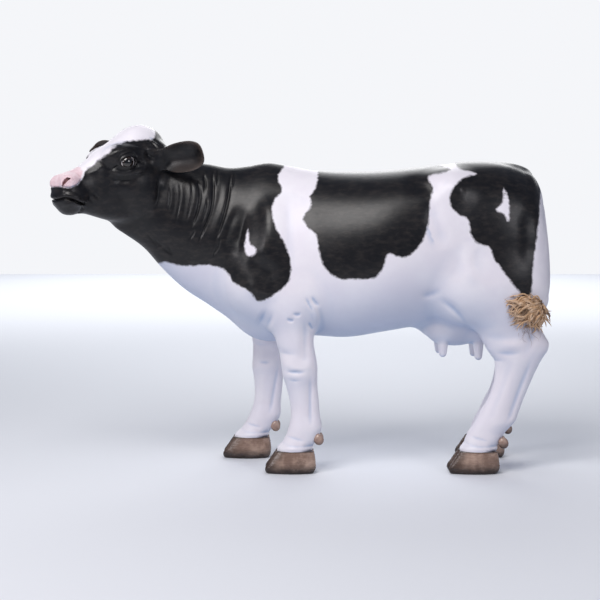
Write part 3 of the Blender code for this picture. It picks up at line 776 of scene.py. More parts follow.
# %% Leg details
def bump(first, second, middle, widths):
    """A soft round bump in two measures."""
    return np.exp(-(((first - middle[0]) / widths[0]) ** 2) - ((second - middle[1]) / widths[1]) ** 2)


def bumps(x, z, rows, places):
    """The sum of a table's bumps, each on its own part of the leg."""
    return sum(height * bump(x, z, middle, widths) * places[part] for height, middle, widths, part in rows)


# height, middle and widths in x and z, part of the leg
FRONT_LEG_BUMPS = (
    (0.0040, (-0.052, 0.458), (0.030, 0.030), "outer"),
    (0.0030, (0.030, 0.452), (0.024, 0.026), "outer"),
    (-0.0060, (0.020, 0.560), (0.018, 0.090), "outer"),
)
KNEE_CREASES = (
    (-0.0032, (-0.014, 0.424), (0.032, 0.0085), "outer and face"),
    (-0.0022, (-0.022, 0.388), (0.026, 0.0080), "outer"),
    (-0.0026, (-0.060, 0.500), (0.036, 0.0130), "face"),
)
HOCK_BUMPS = (
    (0.0050, (0.870, 0.535), (0.045, 0.022), "outer"),
    (-0.0028, (0.815, 0.470), (0.026, 0.0110), "all"),
)
PASTERN_CREASES = (
    (-0.0026, (-0.060, 0.120), (0.050, 0.0080), "all"),
    (-0.0020, (0.020, 0.152), (0.040, 0.0080), "all"),
)


def stripe(values, middle, width):
    """A soft stripe that runs along a leg where the values reach the middle."""
    return np.exp(-(((values - middle) / width) ** 2))


def front_leg_height(x, out, z):
    """Ridges and creases of a front leg."""
    outer = ease(out, -0.01, 0.02)
    face = 1 - ease(x, -0.03, 0.03)
    places = {"outer": outer, "face": face, "outer and face": outer + face}
    bent = z - 1.2 * (x + 0.010) ** 2
    tendon = ease(z, 0.15, 0.28) - ease(z, 0.32, 0.47)
    height = bumps(x, z, FRONT_LEG_BUMPS, places) + bumps(x, bent, KNEE_CREASES, places)
    return height + (0.0030 * stripe(x, -0.005, 0.020) - 0.0052 * stripe(x, 0.042, 0.0125)) * tendon


def hind_leg_height(x, out, z):
    """Ridges and creases of a hind leg."""
    places = {"outer": ease(out, -0.01, 0.02), "all": 1}
    slant = 0.895 + 0.36 * (z - 0.30)
    tendon = ease(z, 0.15, 0.28) - ease(z, 0.36, 0.52)
    height = (0.0035 * stripe(x, slant - 0.050, 0.022) - 0.0055 * stripe(x, slant, 0.0150)) * tendon
    height -= 0.0100 * bump(x - 0.965 - 0.35 * (z - 0.58), z, (0, 0.600), (0.022, 0.070))
    bent = z - 0.9 * (x - 0.87) ** 2
    height -= 0.0030 * bump(x, bent, (0.860, 0.502), (0.040, 0.0120)) * places["outer"]
    return height + bumps(x, z, HOCK_BUMPS, places)


def foot_height(x, out, z):
    """The swollen skin over the hoof, the parting between the claws, and the pastern's creases."""
    height = 0.0040 * stripe(z, 0.104, 0.0080)
    height -= 0.0100 * stripe(out, 0, 0.0065) * (1 - ease(z, 0.100, 0.150))
    height -= 0.0100 * bump(x, z, (0.080, 0.105), (0.026, 0.020))
    return height + bumps(x, z + 0.25 * x, PASTERN_CREASES, {"all": 1})


FRONT_FOOT_MIDDLE = -0.042
FRONT_STANCE = 0.160
HIND_FOOT_MIDDLE = 0.723
HIND_STANCE = 0.165


def leg_touches(points):
    """Height added to each leg."""
    height = np.zeros(len(points))
    out_from_middle = np.abs(points[:, 1])
    swing = (1 - points[:, 2] / LEG_SWING_HEIGHT) * (points[:, 1] > 0)
    z = points[:, 2]
    low = 1 - ease(z, 0.60, 0.75)
    apart = ease(out_from_middle, 0.04, 0.09)
    for front, step, middle in ((True, FRONT_FOOT_STEP, FRONT_STANCE), (False, HIND_FOOT_STEP, HIND_STANCE)):
        x = points[:, 0] - step * swing
        here = (x < 0.3) if front else (x > 0.5)
        out = out_from_middle - middle
        leg_height = front_leg_height(x, out, z) if front else hind_leg_height(x, out, z)
        foot = foot_height(x - (FRONT_FOOT_MIDDLE if front else HIND_FOOT_MIDDLE), out, z)
        height += np.where(here, (leg_height + foot) * low * apart, 0)
    return height


# %% [markdown]
# ## The whole field
# Now the clay can be asked for its distance anywhere. Every mass and stroke is only worked out
# inside its own box with a margin, which is what makes a million questions quick.

# %% The skin's field
CHUNK = 12000


def inside(points, low, high, margin):
    """The numbers of the points in a box grown by a margin."""
    return np.flatnonzero(np.all((points > low - margin) & (points < high + margin), axis=1))


def overlapping(items, points, margin):
    """The masses or strokes whose box comes near these points."""
    low, high = points.min(0) - margin, points.max(0) + margin
    return [item for item in items if np.all(item.low < high) and np.all(item.high > low)]


def field_of_chunk(points):
    """How far each point is outside the skin, for points that lie close together."""
    distance = np.full(len(points), FAR)
    for mass in overlapping(masses, points, 0.11):
        near = inside(points, mass.low, mass.high, mass.fillet + 0.03)
        if len(near):
            distance[near] = smooth_min(distance[near], mass.field(points[near]), mass.fillet)
    close = np.flatnonzero(np.abs(distance) < 0.04)
    if not len(close):
        return distance
    near_points = points[close]
    height = np.zeros(len(close))
    for stroke in overlapping(strokes, near_points, 0):
        near = inside(near_points, stroke.low, stroke.high, 0)
        if len(near):
            height[near] += stroke.height * stroke.shape(near_points[near])
    legs = np.flatnonzero(near_points[:, 2] < 0.75)
    height[legs] += leg_touches(near_points[legs])
    distance[close] -= height
    for side in BOTH:
        middle = head_to_world(EYE_PLACE * (1, side, 1))
        near = inside(points, middle, middle, 0.07)
        if len(near):
            distance[near] = add_lids(points[near], distance[near], side)
    for hollow, _ in nostrils:
        near = inside(points, hollow.low, hollow.high, 0.02)
        if len(near):
            distance[near] = smooth_max(distance[near], -hollow.field(points[near]), 0.004)
    return distance


def skin_field(points):
    """How far each point is outside the skin; negative inside it."""
    order = np.argsort(points[:, 0])
    chunks = np.array_split(points[order], max(1, len(points) // CHUNK))
    with ThreadPoolExecutor() as pool:
        parts = list(pool.map(field_of_chunk, chunks))
    distance = np.empty(len(points))
    distance[order] = np.concatenate(parts)
    return distance

# %% [markdown]
# ## From field to mesh
# *Surface nets* wrap the field in quads: space is cut into small cubes, each cube that the surface
# passes through gets one vertex, and each cube edge that it crosses gets one quad. To avoid asking
# about empty air, the cubes start at 32 mm, and only those close to the surface are split, three
# times, down to 4 mm. The points are then pulled onto the surface along the field's slope.

# %% Cubes near the surface
COARSE_CUBE = 0.032
CUBE_REACHES = (1.8, 1.5, 1.1)
SPLITS = len(CUBE_REACHES)
CUBE = COARSE_CUBE / 2**SPLITS
low = np.min([mass.low for mass in masses], axis=0) - 0.03
high = np.max([mass.high for mass in masses], axis=0) + 0.03


CORNERS = np.array([(i, j, k) for i in (0, 1) for j in (0, 1) for k in (0, 1)])


def split(cells):
    """The eight half-size cubes inside each cube."""
    return (2 * cells[:, None, :] + CORNERS).reshape(-1, 3)


TETRAHEDRON = np.array([(1, 1, 1), (1, -1, -1), (-1, 1, -1), (-1, -1, 1)])


def slopes(points, step):
    """The field's slope and mean round each point, from four places a step away in X, Y and Z."""
    slope = np.zeros_like(points)
    mean = np.zeros(len(points))
    for corner in TETRAHEDRON:
        value = skin_field(points + corner * step)
        slope += value[:, None] * corner / (4 * step)
        mean += value / 4
    return slope, mean


counts = np.ceil((high - low) / COARSE_CUBE).astype(int)
cells = np.stack(np.meshgrid(*[np.arange(count) for count in counts], indexing="ij"), -1).reshape(-1, 3)
size = COARSE_CUBE
for reach in CUBE_REACHES:
    middle_distance = skin_field(low + (cells + 0.5) * size)
    cells = split(cells[np.abs(middle_distance) < reach * size])
    size /= 2
print("cubes of", round(size * 1000, 1), "mm near the skin:", len(cells))

# %% Surface nets
GRID = counts * 2**SPLITS + 2
STEPS = np.array([(i, j, k) for i in (-1, 0, 1) for j in (-1, 0, 1) for k in (-1, 0, 1)])
CUBE_EDGES = [(a, b) for a in range(8) for b in range(8) if a < b and abs(CORNERS[a] - CORNERS[b]).sum() == 1]


def key_of(indices):
    """One whole number for each place in the grid."""
    return (indices[..., 0] * GRID[1] + indices[..., 1]) * GRID[2] + indices[..., 2]


def crossing(cells):
    """The cubes among these that the surface passes through, and the field at their corners."""
    places = (cells[:, None, :] + CORNERS).reshape(-1, 3)
    _, first, back = np.unique(key_of(places), return_index=True, return_inverse=True)
    values = skin_field(low + places[first] * CUBE)[back].reshape(-1, 8)
    crossed = (values.min(1) < 0) & (values.max(1) >= 0)
    return cells[crossed], values[crossed]


tried = np.sort(key_of(cells))
cells, values = crossing(cells)
fresh = cells
while len(fresh):
    beside = np.setdiff1d(key_of((fresh[:, None, :] + STEPS).reshape(-1, 3)), tried)
    tried = np.union1d(tried, beside)
    fresh, fresh_values = crossing(np.column_stack(np.unravel_index(beside, GRID)))
    cells, values = np.concatenate([cells, fresh]), np.concatenate([values, fresh_values])
    print("cubes added beside the others:", len(fresh))

total = np.zeros((len(cells), 3))
crossings = np.zeros(len(cells))
for a, b in CUBE_EDGES:
    cut = (values[:, a] < 0) != (values[:, b] < 0)
    gap = np.where(cut, values[:, a] - values[:, b], 1)
    share = (values[:, a] / gap)[:, None]
    total += cut[:, None] * (CORNERS[a] + share * (CORNERS[b] - CORNERS[a]))
    crossings += cut
net_points = low + (cells + total / crossings[:, None]) * CUBE

cell_keys = key_of(cells)
order = np.argsort(cell_keys)
sorted_keys = cell_keys[order]


def cell_number(indices):
    """Which kept cube stands at each place, or -1 where none does."""
    wanted = key_of(indices)
    place = np.clip(np.searchsorted(sorted_keys, wanted), 0, len(sorted_keys) - 1)
    return np.where(sorted_keys[place] == wanted, order[place], -1)


quads = []
for axis in range(3):
    second, third = np.roll(np.eye(3, dtype=int), -axis - 1, axis=0)[:2]
    far_corner = int(np.flatnonzero((CORNERS == np.eye(3, dtype=int)[axis]).all(1))[0])
    leaves = (values[:, 0] < 0) & (values[:, far_corner] >= 0)
    enters = (values[:, 0] >= 0) & (values[:, far_corner] < 0)
    for mask, turn in ((leaves, 1), (enters, -1)):
        here = cells[mask]
        around = [here, here - second, here - second - third, here - third][::turn]
        quads.append(np.column_stack([cell_number(place) for place in around]))
quads = np.concatenate(quads)
holes = (quads < 0).any(1)
print("net:", len(net_points), "points,", len(quads), "quads,", int(holes.sum()), "lost at missing cubes")
quads = quads[~holes]

# %% [markdown]
# The face needs smaller facets than the barrel: an eyelid is 4 mm thick. The quads of the face are
# split once more. Then all points are pulled onto the surface, and Blender's Decimate thins the
# mesh again where it is flat, so that the count stays inside what one piece may have.

# %% A finer face, then a lighter mesh
FACE_PLACES = (((0.150, 0.100, 0.050), 0.085), ((0.400, 0.030, 0.010), 0.105))
SKIN_TRIANGLES = 190000


def face_share(points):
    """True at points close to an eye, the nose or the mouth."""
    local = to_head(points)
    found = np.zeros(len(points), bool)
    for middle, reach in FACE_PLACES:
        for side in BOTH:
            gap = np.linalg.norm(local - np.array(middle) * (1, side, 1), axis=1)
            found |= gap < reach
    return found


SETTLE_STEP = 0.0006


def settle(points, passes):
    """Pulls points onto the place where the field is 0."""
    for _ in range(passes):
        slope, mean = slopes(points, SETTLE_STEP)
        pull = mean / np.maximum((slope**2).sum(1), 0.2)
        points = points - np.clip(pull, -CUBE, CUBE)[:, None] * slope
    return points


def into_scene(item):
    """Links an object to the scene."""
    bpy.context.scene.collection.objects.link(item)
    return item


def new_mesh(name, points, faces, edges=()):
    """An object in the scene made of points and faces or edges, in the frame's own measures."""
    mesh = bpy.data.meshes.new(name)
    mesh.from_pydata(points, edges, faces)
    mesh.update()
    return into_scene(bpy.data.objects.new(name, mesh))


def mesh_points(mesh):
    """The mesh's vertices as an array."""
    places = np.empty(len(mesh.vertices) * 3)
    mesh.vertices.foreach_get("co", places)
    return places.reshape(-1, 3)


def set_mesh_points(mesh, points):
    mesh.vertices.foreach_set("co", np.ascontiguousarray(points).ravel())
    mesh.update()


def apply_modifiers(item):
    """Turns what the object's modifiers make into its own mesh."""
    graph = bpy.context.evaluated_depsgraph_get()
    made = bpy.data.meshes.new_from_object(item.evaluated_get(graph))
    item.modifiers.clear()
    item.data = made


skin = new_mesh("skin", net_points, quads.tolist())
clay = bmesh.new()
clay.from_mesh(skin.data)
clay.verts.ensure_lookup_table()
in_face = face_share(mesh_points(skin.data))
face_edges = [edge for edge in clay.edges if in_face[edge.verts[0].index] and in_face[edge.verts[1].index]]
bmesh.ops.subdivide_edges(clay, edges=face_edges, cuts=1, use_grid_fill=True)
bmesh.ops.triangulate(clay, faces=clay.faces)
clay.to_mesh(skin.data)
clay.free()
set_mesh_points(skin.data, settle(mesh_points(skin.data), 2))
print("before thinning:", len(skin.data.polygons), "triangles")
thin = skin.modifiers.new("thin", "DECIMATE")
thin.ratio = min(1, SKIN_TRIANGLES / len(skin.data.polygons))
thin.use_collapse_triangulate = True
apply_modifiers(skin)
print("after thinning:", len(skin.data.polygons), "triangles")

# %% [markdown]
# The corners of a thinned mesh would show in the gloss, so each vertex gets the field's own slope
# as its normal. The same question also tells how hollow the skin is at each place: in a hollow the
# mean of the field around a point is lower than at a plain one. That goes into an attribute, and
# the paint uses it for painted shade in the folds. A second one tells how much the skin faces down,
# which the paint uses for painted shade on the undersides.

# %% Normals and hollows
skin_points = settle(mesh_points(skin.data), 1)
normals, mean = slopes(skin_points, 0.0012)
normals /= np.maximum(np.linalg.norm(normals, axis=1), 1e-9)[:, None]
HOLLOW_STEP = 0.005
slope, mean = slopes(skin_points, HOLLOW_STEP)
bend = mean / HOLLOW_STEP**2
set_mesh_points(skin.data, skin_points - FRAME_CENTRE)
skin.data.shade_smooth()
skin.data.normals_split_custom_set_from_vertices(normals)


def paint_attribute(item, name, values):
    """Stores one number for each vertex, which a material reads by name."""
    layer = item.data.attributes.new(name, "FLOAT", "POINT")
    layer.data.foreach_set("value", np.ascontiguousarray(values, np.float32))


paint_attribute(skin, "hollow", np.clip(-bend / 30, 0, 1))
paint_attribute(skin, "under", np.clip(-normals[:, 2], 0, 1))
print("skin box:", np.round(skin_points.min(0), 3), np.round(skin_points.max(0), 3))

# %% [markdown]
# ## Where the black goes
# The coat's patches are painted on, so they are outlines on the body and not shapes of their own.
# Each outline is a closed loop of a few points as seen from the side, rounded by a smooth curve.
# The mesh stores how far each vertex is inside the black, in metres. A distance can be read between
# vertices without steps, so the edge stays sharp however large the facets are, and the material can
# still make it ragged and soft. The two flanks differ, as on a real cow, and meet over the back.

# %% Outlines of the patches
ABOVE = 1.5
AHEAD = -1.4
LEFT_PATCHES = {
    "neck": (
        (-0.600, 0.872), (-0.567, 0.878), (-0.510, 0.864), (-0.459, 0.862), (-0.378, 0.867), (-0.310, 0.842),
        (-0.272, 0.792), (-0.212, 0.764), (-0.178, 0.722), (-0.155, 0.722), (-0.103, 0.750), (-0.048, 0.800),
        (-0.037, 0.866), (-0.054, 0.940), (-0.096, 1.018), (-0.117, 1.097), (-0.105, 1.144), (-0.076, 1.178),
        (-0.094, 1.234), (-0.069, 1.289), (-0.060, 1.330), (-0.070, ABOVE), (AHEAD, ABOVE), (AHEAD, 0.800),
        (-0.800, 0.800),
    ),
    "barrel": (
        (0.080, 1.300), (0.077, 1.262), (0.067, 1.194), (0.042, 1.156), (0.046, 1.118), (0.012, 1.064),
        (0.033, 1.026), (0.066, 0.994), (0.078, 0.924), (0.102, 0.863), (0.155, 0.818), (0.220, 0.815),
        (0.309, 0.823), (0.342, 0.872), (0.358, 0.921), (0.390, 0.909), (0.444, 0.909), (0.485, 0.949),
        (0.514, 1.002), (0.527, 1.059), (0.534, 1.137), (0.549, 1.183), (0.534, 1.235), (0.600, 1.255),
        (0.628, 1.268), (0.601, 1.290), (0.560, ABOVE), (0.120, ABOVE),
    ),
    "rump": (
        (0.662, 1.300), (0.668, 1.270), (0.719, 1.256), (0.738, 1.250), (0.677, 1.230), (0.631, 1.191),
        (0.613, 1.150), (0.619, 1.113), (0.651, 1.076), (0.685, 1.064), (0.693, 1.035), (0.701, 0.994),
        (0.731, 0.957), (0.777, 0.944), (0.794, 0.899), (0.832, 0.846), (0.885, 0.777), (0.918, 0.740),
        (0.945, 0.742), (0.956, 0.837), (0.976, 0.964), (0.998, 1.089), (1.020, 1.179), (1.100, 1.300),
        (1.050, ABOVE), (0.700, ABOVE),
    ),
}
LEFT_HOLES = {
    "flame": ((-0.217, 1.020), (-0.206, 0.955), (-0.180, 0.934), (-0.199, 0.908), (-0.227, 0.920)),
    "spot": (
        (0.842, 1.190), (0.856, 1.152), (0.862, 1.100), (0.856, 1.048), (0.840, 1.078), (0.803, 1.097),
        (0.834, 1.132),
    ),
}
RIGHT_PATCHES = {
    "neck": (
        (-0.620, 0.880), (-0.540, 0.900), (-0.450, 0.880), (-0.350, 0.835), (-0.270, 0.770), (-0.190, 0.715),
        (-0.110, 0.735), (-0.050, 0.800), (-0.020, 0.890), (-0.060, 0.985), (-0.045, 1.070), (-0.085, 1.160),
        (-0.075, 1.240), (-0.066, 1.300), (-0.070, ABOVE), (AHEAD, ABOVE), (AHEAD, 0.800), (-0.800, 0.800),
    ),
    "barrel": (
        (0.085, 1.300), (0.100, 1.230), (0.060, 1.160), (0.090, 1.080), (0.060, 1.000), (0.110, 0.920),
        (0.180, 0.870), (0.260, 0.840), (0.330, 0.790), (0.410, 0.800), (0.450, 0.870), (0.430, 0.950),
        (0.480, 1.020), (0.560, 1.060), (0.575, 1.140), (0.530, 1.210), (0.590, 1.280), (0.560, ABOVE),
        (0.120, ABOVE),
    ),
    "rump": (
        (0.668, 1.300), (0.700, 1.240), (0.680, 1.160), (0.720, 1.080), (0.700, 1.000), (0.760, 0.920),
        (0.840, 0.880), (0.880, 0.800), (0.940, 0.780), (0.975, 0.880), (0.990, 1.020), (1.020, 1.160),
        (1.100, 1.300), (1.050, ABOVE), (0.700, ABOVE),
    ),
}
RIGHT_HOLES = {
    "flame": ((-0.260, 1.060), (-0.235, 1.000), (-0.245, 0.950), (-0.275, 0.985)),
    "spot": ((0.820, 1.110), (0.850, 1.090), (0.846, 1.030), (0.812, 1.050)),
}


def rounded_loop(outline, per_side=5):
    """A closed outline through the given corners, rounded by a smooth curve."""
    corners = np.array(outline)
    count = len(corners)
    wrapped = np.concatenate([corners[-3:], corners, corners[:3]])
    steps = np.concatenate([[0], np.cumsum(np.linalg.norm(np.diff(wrapped, axis=0), axis=1) ** 0.5)])
    smooth = resample(np.column_stack([steps, wrapped]), 8 * per_side * len(wrapped))
    kept = (smooth[:, 0] >= steps[3]) & (smooth[:, 0] < steps[3 + count])
    return smooth[kept][::8, 1:]


def inside_distance(places, outline):
    """How far each place is inside a closed outline; negative outside it."""
    loop = rounded_loop(outline)
    gap = np.full(len(places), np.inf)
    within = np.zeros(len(places), bool)
    for start, end in zip(loop, np.roll(loop, -1, axis=0)):
        run = end - start
        share = np.clip((places - start) @ run / max(run @ run, 1e-12), 0, 1)
        gap = np.minimum(gap, ((places - start - share[:, None] * run) ** 2).sum(1))
        if start[1] != end[1]:
            crosses = (places[:, 1] < start[1]) != (places[:, 1] < end[1])
            meet = start[0] + (places[:, 1] - start[1]) / (end[1] - start[1]) * run[0]
            within ^= crosses & (places[:, 0] < meet)
    return np.where(within, 1, -1) * np.sqrt(gap)


def flank(places, patches, holes):
    """How far inside the black each place of one flank is."""
    black = np.max([inside_distance(places, outline) for outline in patches.values()], axis=0)
    white = np.max([inside_distance(places, outline) for outline in holes.values()], axis=0)
    return np.minimum(black, -white)


side_places = skin_points[:, [0, 2]]
to_right = ease(skin_points[:, 1], -0.05, 0.05)
left_flank = flank(side_places, LEFT_PATCHES, LEFT_HOLES)
right_flank = flank(side_places, RIGHT_PATCHES, RIGHT_HOLES)
black = left_flank + (right_flank - left_flank) * to_right

# %% [markdown]
# The head is black but for a blaze from the crown to the nose, and a pink nose pad. Their edges are
# given in the head's own axes: the height `u` of the edge for each place `f` along the face. The
# tail is black at its root and white further down.

# %% Blaze, nose pad and tail
# f, height of the blaze's edge
BLAZE_EDGE = (
    (-0.120, 0.300), (-0.075, 0.180), (-0.048, 0.131), (-0.020, 0.114), (0.000, 0.108), (0.065, 0.124),
    (0.112, 0.130), (0.160, 0.130), (0.190, 0.121), (0.208, 0.112), (0.234, 0.098), (0.274, 0.074),
    (0.312, 0.064), (0.326, 0.052), (0.346, 0.036), (0.380, 0.021), (0.411, 0.017), (0.430, 0.023),
    (0.440, 0.030), (0.450, 0.040), (0.480, 0.045),
)
# f, height of the nose pad's lower edge
PAD_LOWER_EDGE = (
    (0.320, 0.070), (0.330, 0.058), (0.346, 0.039), (0.362, 0.030), (0.380, 0.023), (0.411, 0.019),
    (0.430, 0.025), (0.440, 0.031), (0.450, 0.041), (0.480, 0.046),
)
PAD_REAR = 0.334
TAIL_BLACK_TO = 1.18
head_points = to_head(skin_points)
f, l, u = head_points.T
on_head = (f > -0.13) & (skin_points[:, 0] < -0.50)
wobble = 0.006 * np.sin(31 * f + 1) * ease(-l, 0.0, 0.03) * (1 - ease(f, 0.28, 0.32))
blaze = u - np.interp(f, *np.array(BLAZE_EDGE).T) - wobble
black = np.where(on_head, np.minimum(black, -blaze), black)
pad = np.minimum(u - np.interp(f, *np.array(PAD_LOWER_EDGE).T), f - PAD_REAR + 0.25 * (u - 0.03))
pad = np.where(on_head, pad, -FAR)
tail_path = path_points(TAIL_ROUTE, 26)
gap, values = nearest_on_path(skin_points, tail_path, 3)
on_tail = (gap - values[:, 1] < 0.006) & (skin_points[:, 2] < 1.22) & (skin_points[:, 0] > 0.97)
black = np.where(on_tail, skin_points[:, 2] - TAIL_BLACK_TO, black)
# Painted highlight: the rim and the lower edge of each ear's hollow are painted brown-grey, as if light
# caught them.
ear_cup = np.zeros(len(skin_points))
for side in BOTH:
    ear_points = ear_local(skin_points, side)
    out, along, up = ear_points.T
    front = ease(out, -0.020, 0.006) * ease(along, 0.03, 0.08)
    near_ear = (np.abs(out) < 0.05) & (along < 0.24) & (along > 0.05) & (np.abs(up) < 0.09)
    black = np.where(near_ear, 0.1, black)
    rim = np.hypot(2 * along / EAR_LENGTH - 1, up / (0.85 * EAR_HALF_WIDTH))
    lower = 0.5 * (1 - ease(up, -0.040, 0.010))
    ear_cup += near_ear * front * np.maximum(ease(rim, 0.72, 0.98), lower)
paint_attribute(skin, "black", np.clip(black, -0.2, 0.2))
paint_attribute(skin, "pad", np.clip(pad, -0.2, 0.2))
paint_attribute(skin, "ear_cup", np.clip(ear_cup, 0, 1))
print("share of vertices in the black:", round(float((black > 0).mean()), 2))

# %% [markdown]
# ## Shader node groups
# Two effects come back in most of the paints, so each is a node group with named inputs. *Cast
# relief* is the low grain of a sprayed resin surface: a wide, slow wave and a fine orange peel.
# *Hand paint* mixes a colour with its lighter and darker tints in soft clouds, and mixes in a
# painted shade colour as far as its Hollow input says, which is painted shade in hollows and folds.
# Both read Object coordinates, which on this object are metres in the frame.

# %% A helper for node trees
def add_node(tree, kind, place, **settings):
    """A node at a place on the canvas, with its properties set by name."""
    node = tree.nodes.new(kind)
    node.location = place
    for name, value in settings.items():
        setattr(node, name, value)
    return node


def noise(tree, place, vector, scale, detail=3.0, roughness=0.5):
    """A noise texture on the given coordinates."""
    node = add_node(tree, "ShaderNodeTexNoise", place)
    tree.links.new(vector, node.inputs["Vector"])
    node.inputs["Scale"].default_value = scale
    node.inputs["Detail"].default_value = detail
    node.inputs["Roughness"].default_value = roughness
    return node


def fill(tree, socket, value):
    """Gives a socket a constant, or links another socket to it."""
    if isinstance(value, (int, float, tuple)):
        socket.default_value = value
    else:
        tree.links.new(value, socket)


def calculate(tree, place, operation, *values):
    """A Math node; each of its operands is a socket or a number."""
    node = add_node(tree, "ShaderNodeMath", place, operation=operation)
    for socket, value in zip(node.inputs, values):
        fill(tree, socket, value)
    return node.outputs[0]


def mix_colours(tree, place, share, first, second):
    """A Mix node for colours; each input is a socket or a value."""
    node = add_node(tree, "ShaderNodeMix", place, data_type="RGBA")
    for number, value in ((0, share), (6, first), (7, second)):
        fill(tree, node.inputs[number], value)
    return node.outputs[2]


def remap(tree, place, value, low, high, to_low=0.0, to_high=1.0):
    """A smooth Map Range node."""
    node = add_node(tree, "ShaderNodeMapRange", place, interpolation_type="SMOOTHSTEP")
    tree.links.new(value, node.inputs["Value"])
    for name, number in (("From Min", low), ("From Max", high), ("To Min", to_low), ("To Max", to_high)):
        node.inputs[name].default_value = number
    return node.outputs["Result"]


def new_group(name, inputs, outputs):
    """An empty shader node group with named sockets, and its two end nodes."""
    tree = bpy.data.node_groups.new(name, "ShaderNodeTree")
    for label, kind, value in inputs:
        socket = tree.interface.new_socket(label, in_out="INPUT", socket_type=kind)
        if value is not None:
            socket.default_value = value
    for label, kind in outputs:
        tree.interface.new_socket(label, in_out="OUTPUT", socket_type=kind)
    return tree, add_node(tree, "NodeGroupInput", (-900, 0)), add_node(tree, "NodeGroupOutput", (700, 0))


# %% Cast relief
NUMBER = "NodeSocketFloat"
COLOUR = "NodeSocketColor"
VECTOR = "NodeSocketVector"


def make_cast_relief():
    tree, start, end = new_group(
        "Cast relief",
        [
            ("Vector", VECTOR, None), ("Grain Scale", NUMBER, 260.0), ("Grain", NUMBER, 0.3),
            ("Wave", NUMBER, 0.6),
        ],
        [("Height", NUMBER), ("Streak", NUMBER)],
    )
    links = tree.links
    peel = noise(tree, (-600, 200), start.outputs["Vector"], 260.0, 2.0)
    links.new(start.outputs["Grain Scale"], peel.inputs["Scale"])
    wave = noise(tree, (-600, -50), start.outputs["Vector"], 22.0, 4.0, 0.55)
    stretch = add_node(tree, "ShaderNodeMapping", (-760, -300))
    stretch.inputs["Scale"].default_value = (26.0, 40.0, 62.0)
    links.new(start.outputs["Vector"], stretch.inputs["Vector"])
    streak = noise(tree, (-600, -300), stretch.outputs["Vector"], 1.0, 3.0, 0.6)
    grain = calculate(tree, (-300, 200), "MULTIPLY", peel.outputs[0], start.outputs["Grain"])
    slow = calculate(tree, (-300, -50), "MULTIPLY", wave.outputs[0], start.outputs["Wave"])
    links.new(calculate(tree, (0, 100), "ADD", grain, slow), end.inputs["Height"])
    links.new(streak.outputs[0], end.inputs["Streak"])
    return tree


def make_hand_paint():
    tree, start, end = new_group(
        "Hand paint",
        [
            ("Vector", VECTOR, None), ("Colour", COLOUR, (0.8, 0.8, 0.8, 1)),
            ("Light Tint", COLOUR, (1, 1, 1, 1)), ("Wash", COLOUR, (0.1, 0.1, 0.1, 1)),
            ("Cloud Scale", NUMBER, 6.0), ("Clouds", NUMBER, 0.5), ("Hollow", NUMBER, 0.0),
            ("Gloss", NUMBER, 0.35),
        ],
        [("Colour", COLOUR), ("Roughness", NUMBER)],
    )
    links = tree.links
    cloud = noise(tree, (-650, 150), start.outputs["Vector"], 6.0, 4.0, 0.6)
    links.new(start.outputs["Cloud Scale"], cloud.inputs["Scale"])
    share = remap(tree, (-450, 150), cloud.outputs[0], 0.35, 0.72)
    share = calculate(tree, (-260, 150), "MULTIPLY", share, start.outputs["Clouds"])
    tinted = mix_colours(tree, (-60, 150), share, start.outputs["Colour"], start.outputs["Light Tint"])
    # Painted shade: the colour is mixed towards the dark shade colour where Hollow is high.
    shade_mixed = mix_colours(tree, (160, 100), start.outputs["Hollow"], tinted, start.outputs["Wash"])
    links.new(shade_mixed, end.inputs["Colour"])
    fine = noise(tree, (-650, -250), start.outputs["Vector"], 90.0, 3.0)
    change = calculate(tree, (-400, -250), "MULTIPLY_ADD", fine.outputs[0], 0.16, -0.08)
    links.new(calculate(tree, (-100, -250), "ADD", change, start.outputs["Gloss"]), end.inputs["Roughness"])
    return tree


cast_relief = make_cast_relief()
hand_paint = make_hand_paint()
print("node groups:", [group.name for group in bpy.data.node_groups])

# %% [markdown]
# ## The cow's paint
# One material covers the whole skin. It reads the stored distances and turns each into a soft,
# slightly ragged mask, as a brush leaves it: black over white, then pink on the nose. The white is
# a warm lilac white with painted blue shade in its hollows and on its undersides, and the black and
# the pink get painted shade in their hollows too. The black has a brown-grey bloom where the brush
# was drier, which is what keeps a black cow from looking like a hole. The rims of the ears get a
# painted brown-grey highlight.

# %% Skin paint
LILAC_WHITE = (0.80, 0.765, 0.83, 1.0)
BRIGHT_WHITE = (0.88, 0.86, 0.90, 1.0)
BLUE_SHADE = (0.28, 0.40, 0.62, 1.0)
SOFT_BLACK = (0.0042, 0.0045, 0.0062, 1.0)
BROWN_BLOOM = (0.021, 0.018, 0.0175, 1.0)
BLACK_SHADE = (0.0022, 0.0022, 0.0030, 1.0)
NOSE_PINK = (0.76, 0.56, 0.60, 1.0)
NOSE_LIGHT = (0.84, 0.70, 0.74, 1.0)
NOSE_SHADE = (0.36, 0.19, 0.19, 1.0)
EAR_RIM_HIGHLIGHT = (0.060, 0.047, 0.041, 1.0)


def new_material(name):
    """A material with its shader, its Object coordinates and a Bump node wired to Normal."""
    material = bpy.data.materials.new(name)
    material.use_nodes = True
    tree = material.node_tree
    shader = tree.nodes["Principled BSDF"]
    coordinates = add_node(tree, "ShaderNodeTexCoord", (-1600, 0))
    bump = add_node(tree, "ShaderNodeBump", (-200, -400))
    tree.links.new(bump.outputs["Normal"], shader.inputs["Normal"])
    return material, tree, shader, coordinates.outputs["Object"], bump


def set_bump(bump, height, strength, distance):
    """Wires a height to a Bump node and sets how strong it is."""
    bump.id_data.links.new(height, bump.inputs["Height"])
    bump.inputs["Strength"].default_value = strength
    bump.inputs["Distance"].default_value = distance


def place_group(tree, group, place, vector, **values):
    """A node group in a material; words in a value's name are joined by underscores."""
    node = add_node(tree, "ShaderNodeGroup", place, node_tree=group)
    tree.links.new(vector, node.inputs["Vector"])
    for name, value in values.items():
        fill(tree, node.inputs[name.replace("_", " ")], value)
    return node


def read_attribute(tree, place, name):
    return add_node(tree, "ShaderNodeAttribute", place, attribute_name=name).outputs["Fac"]


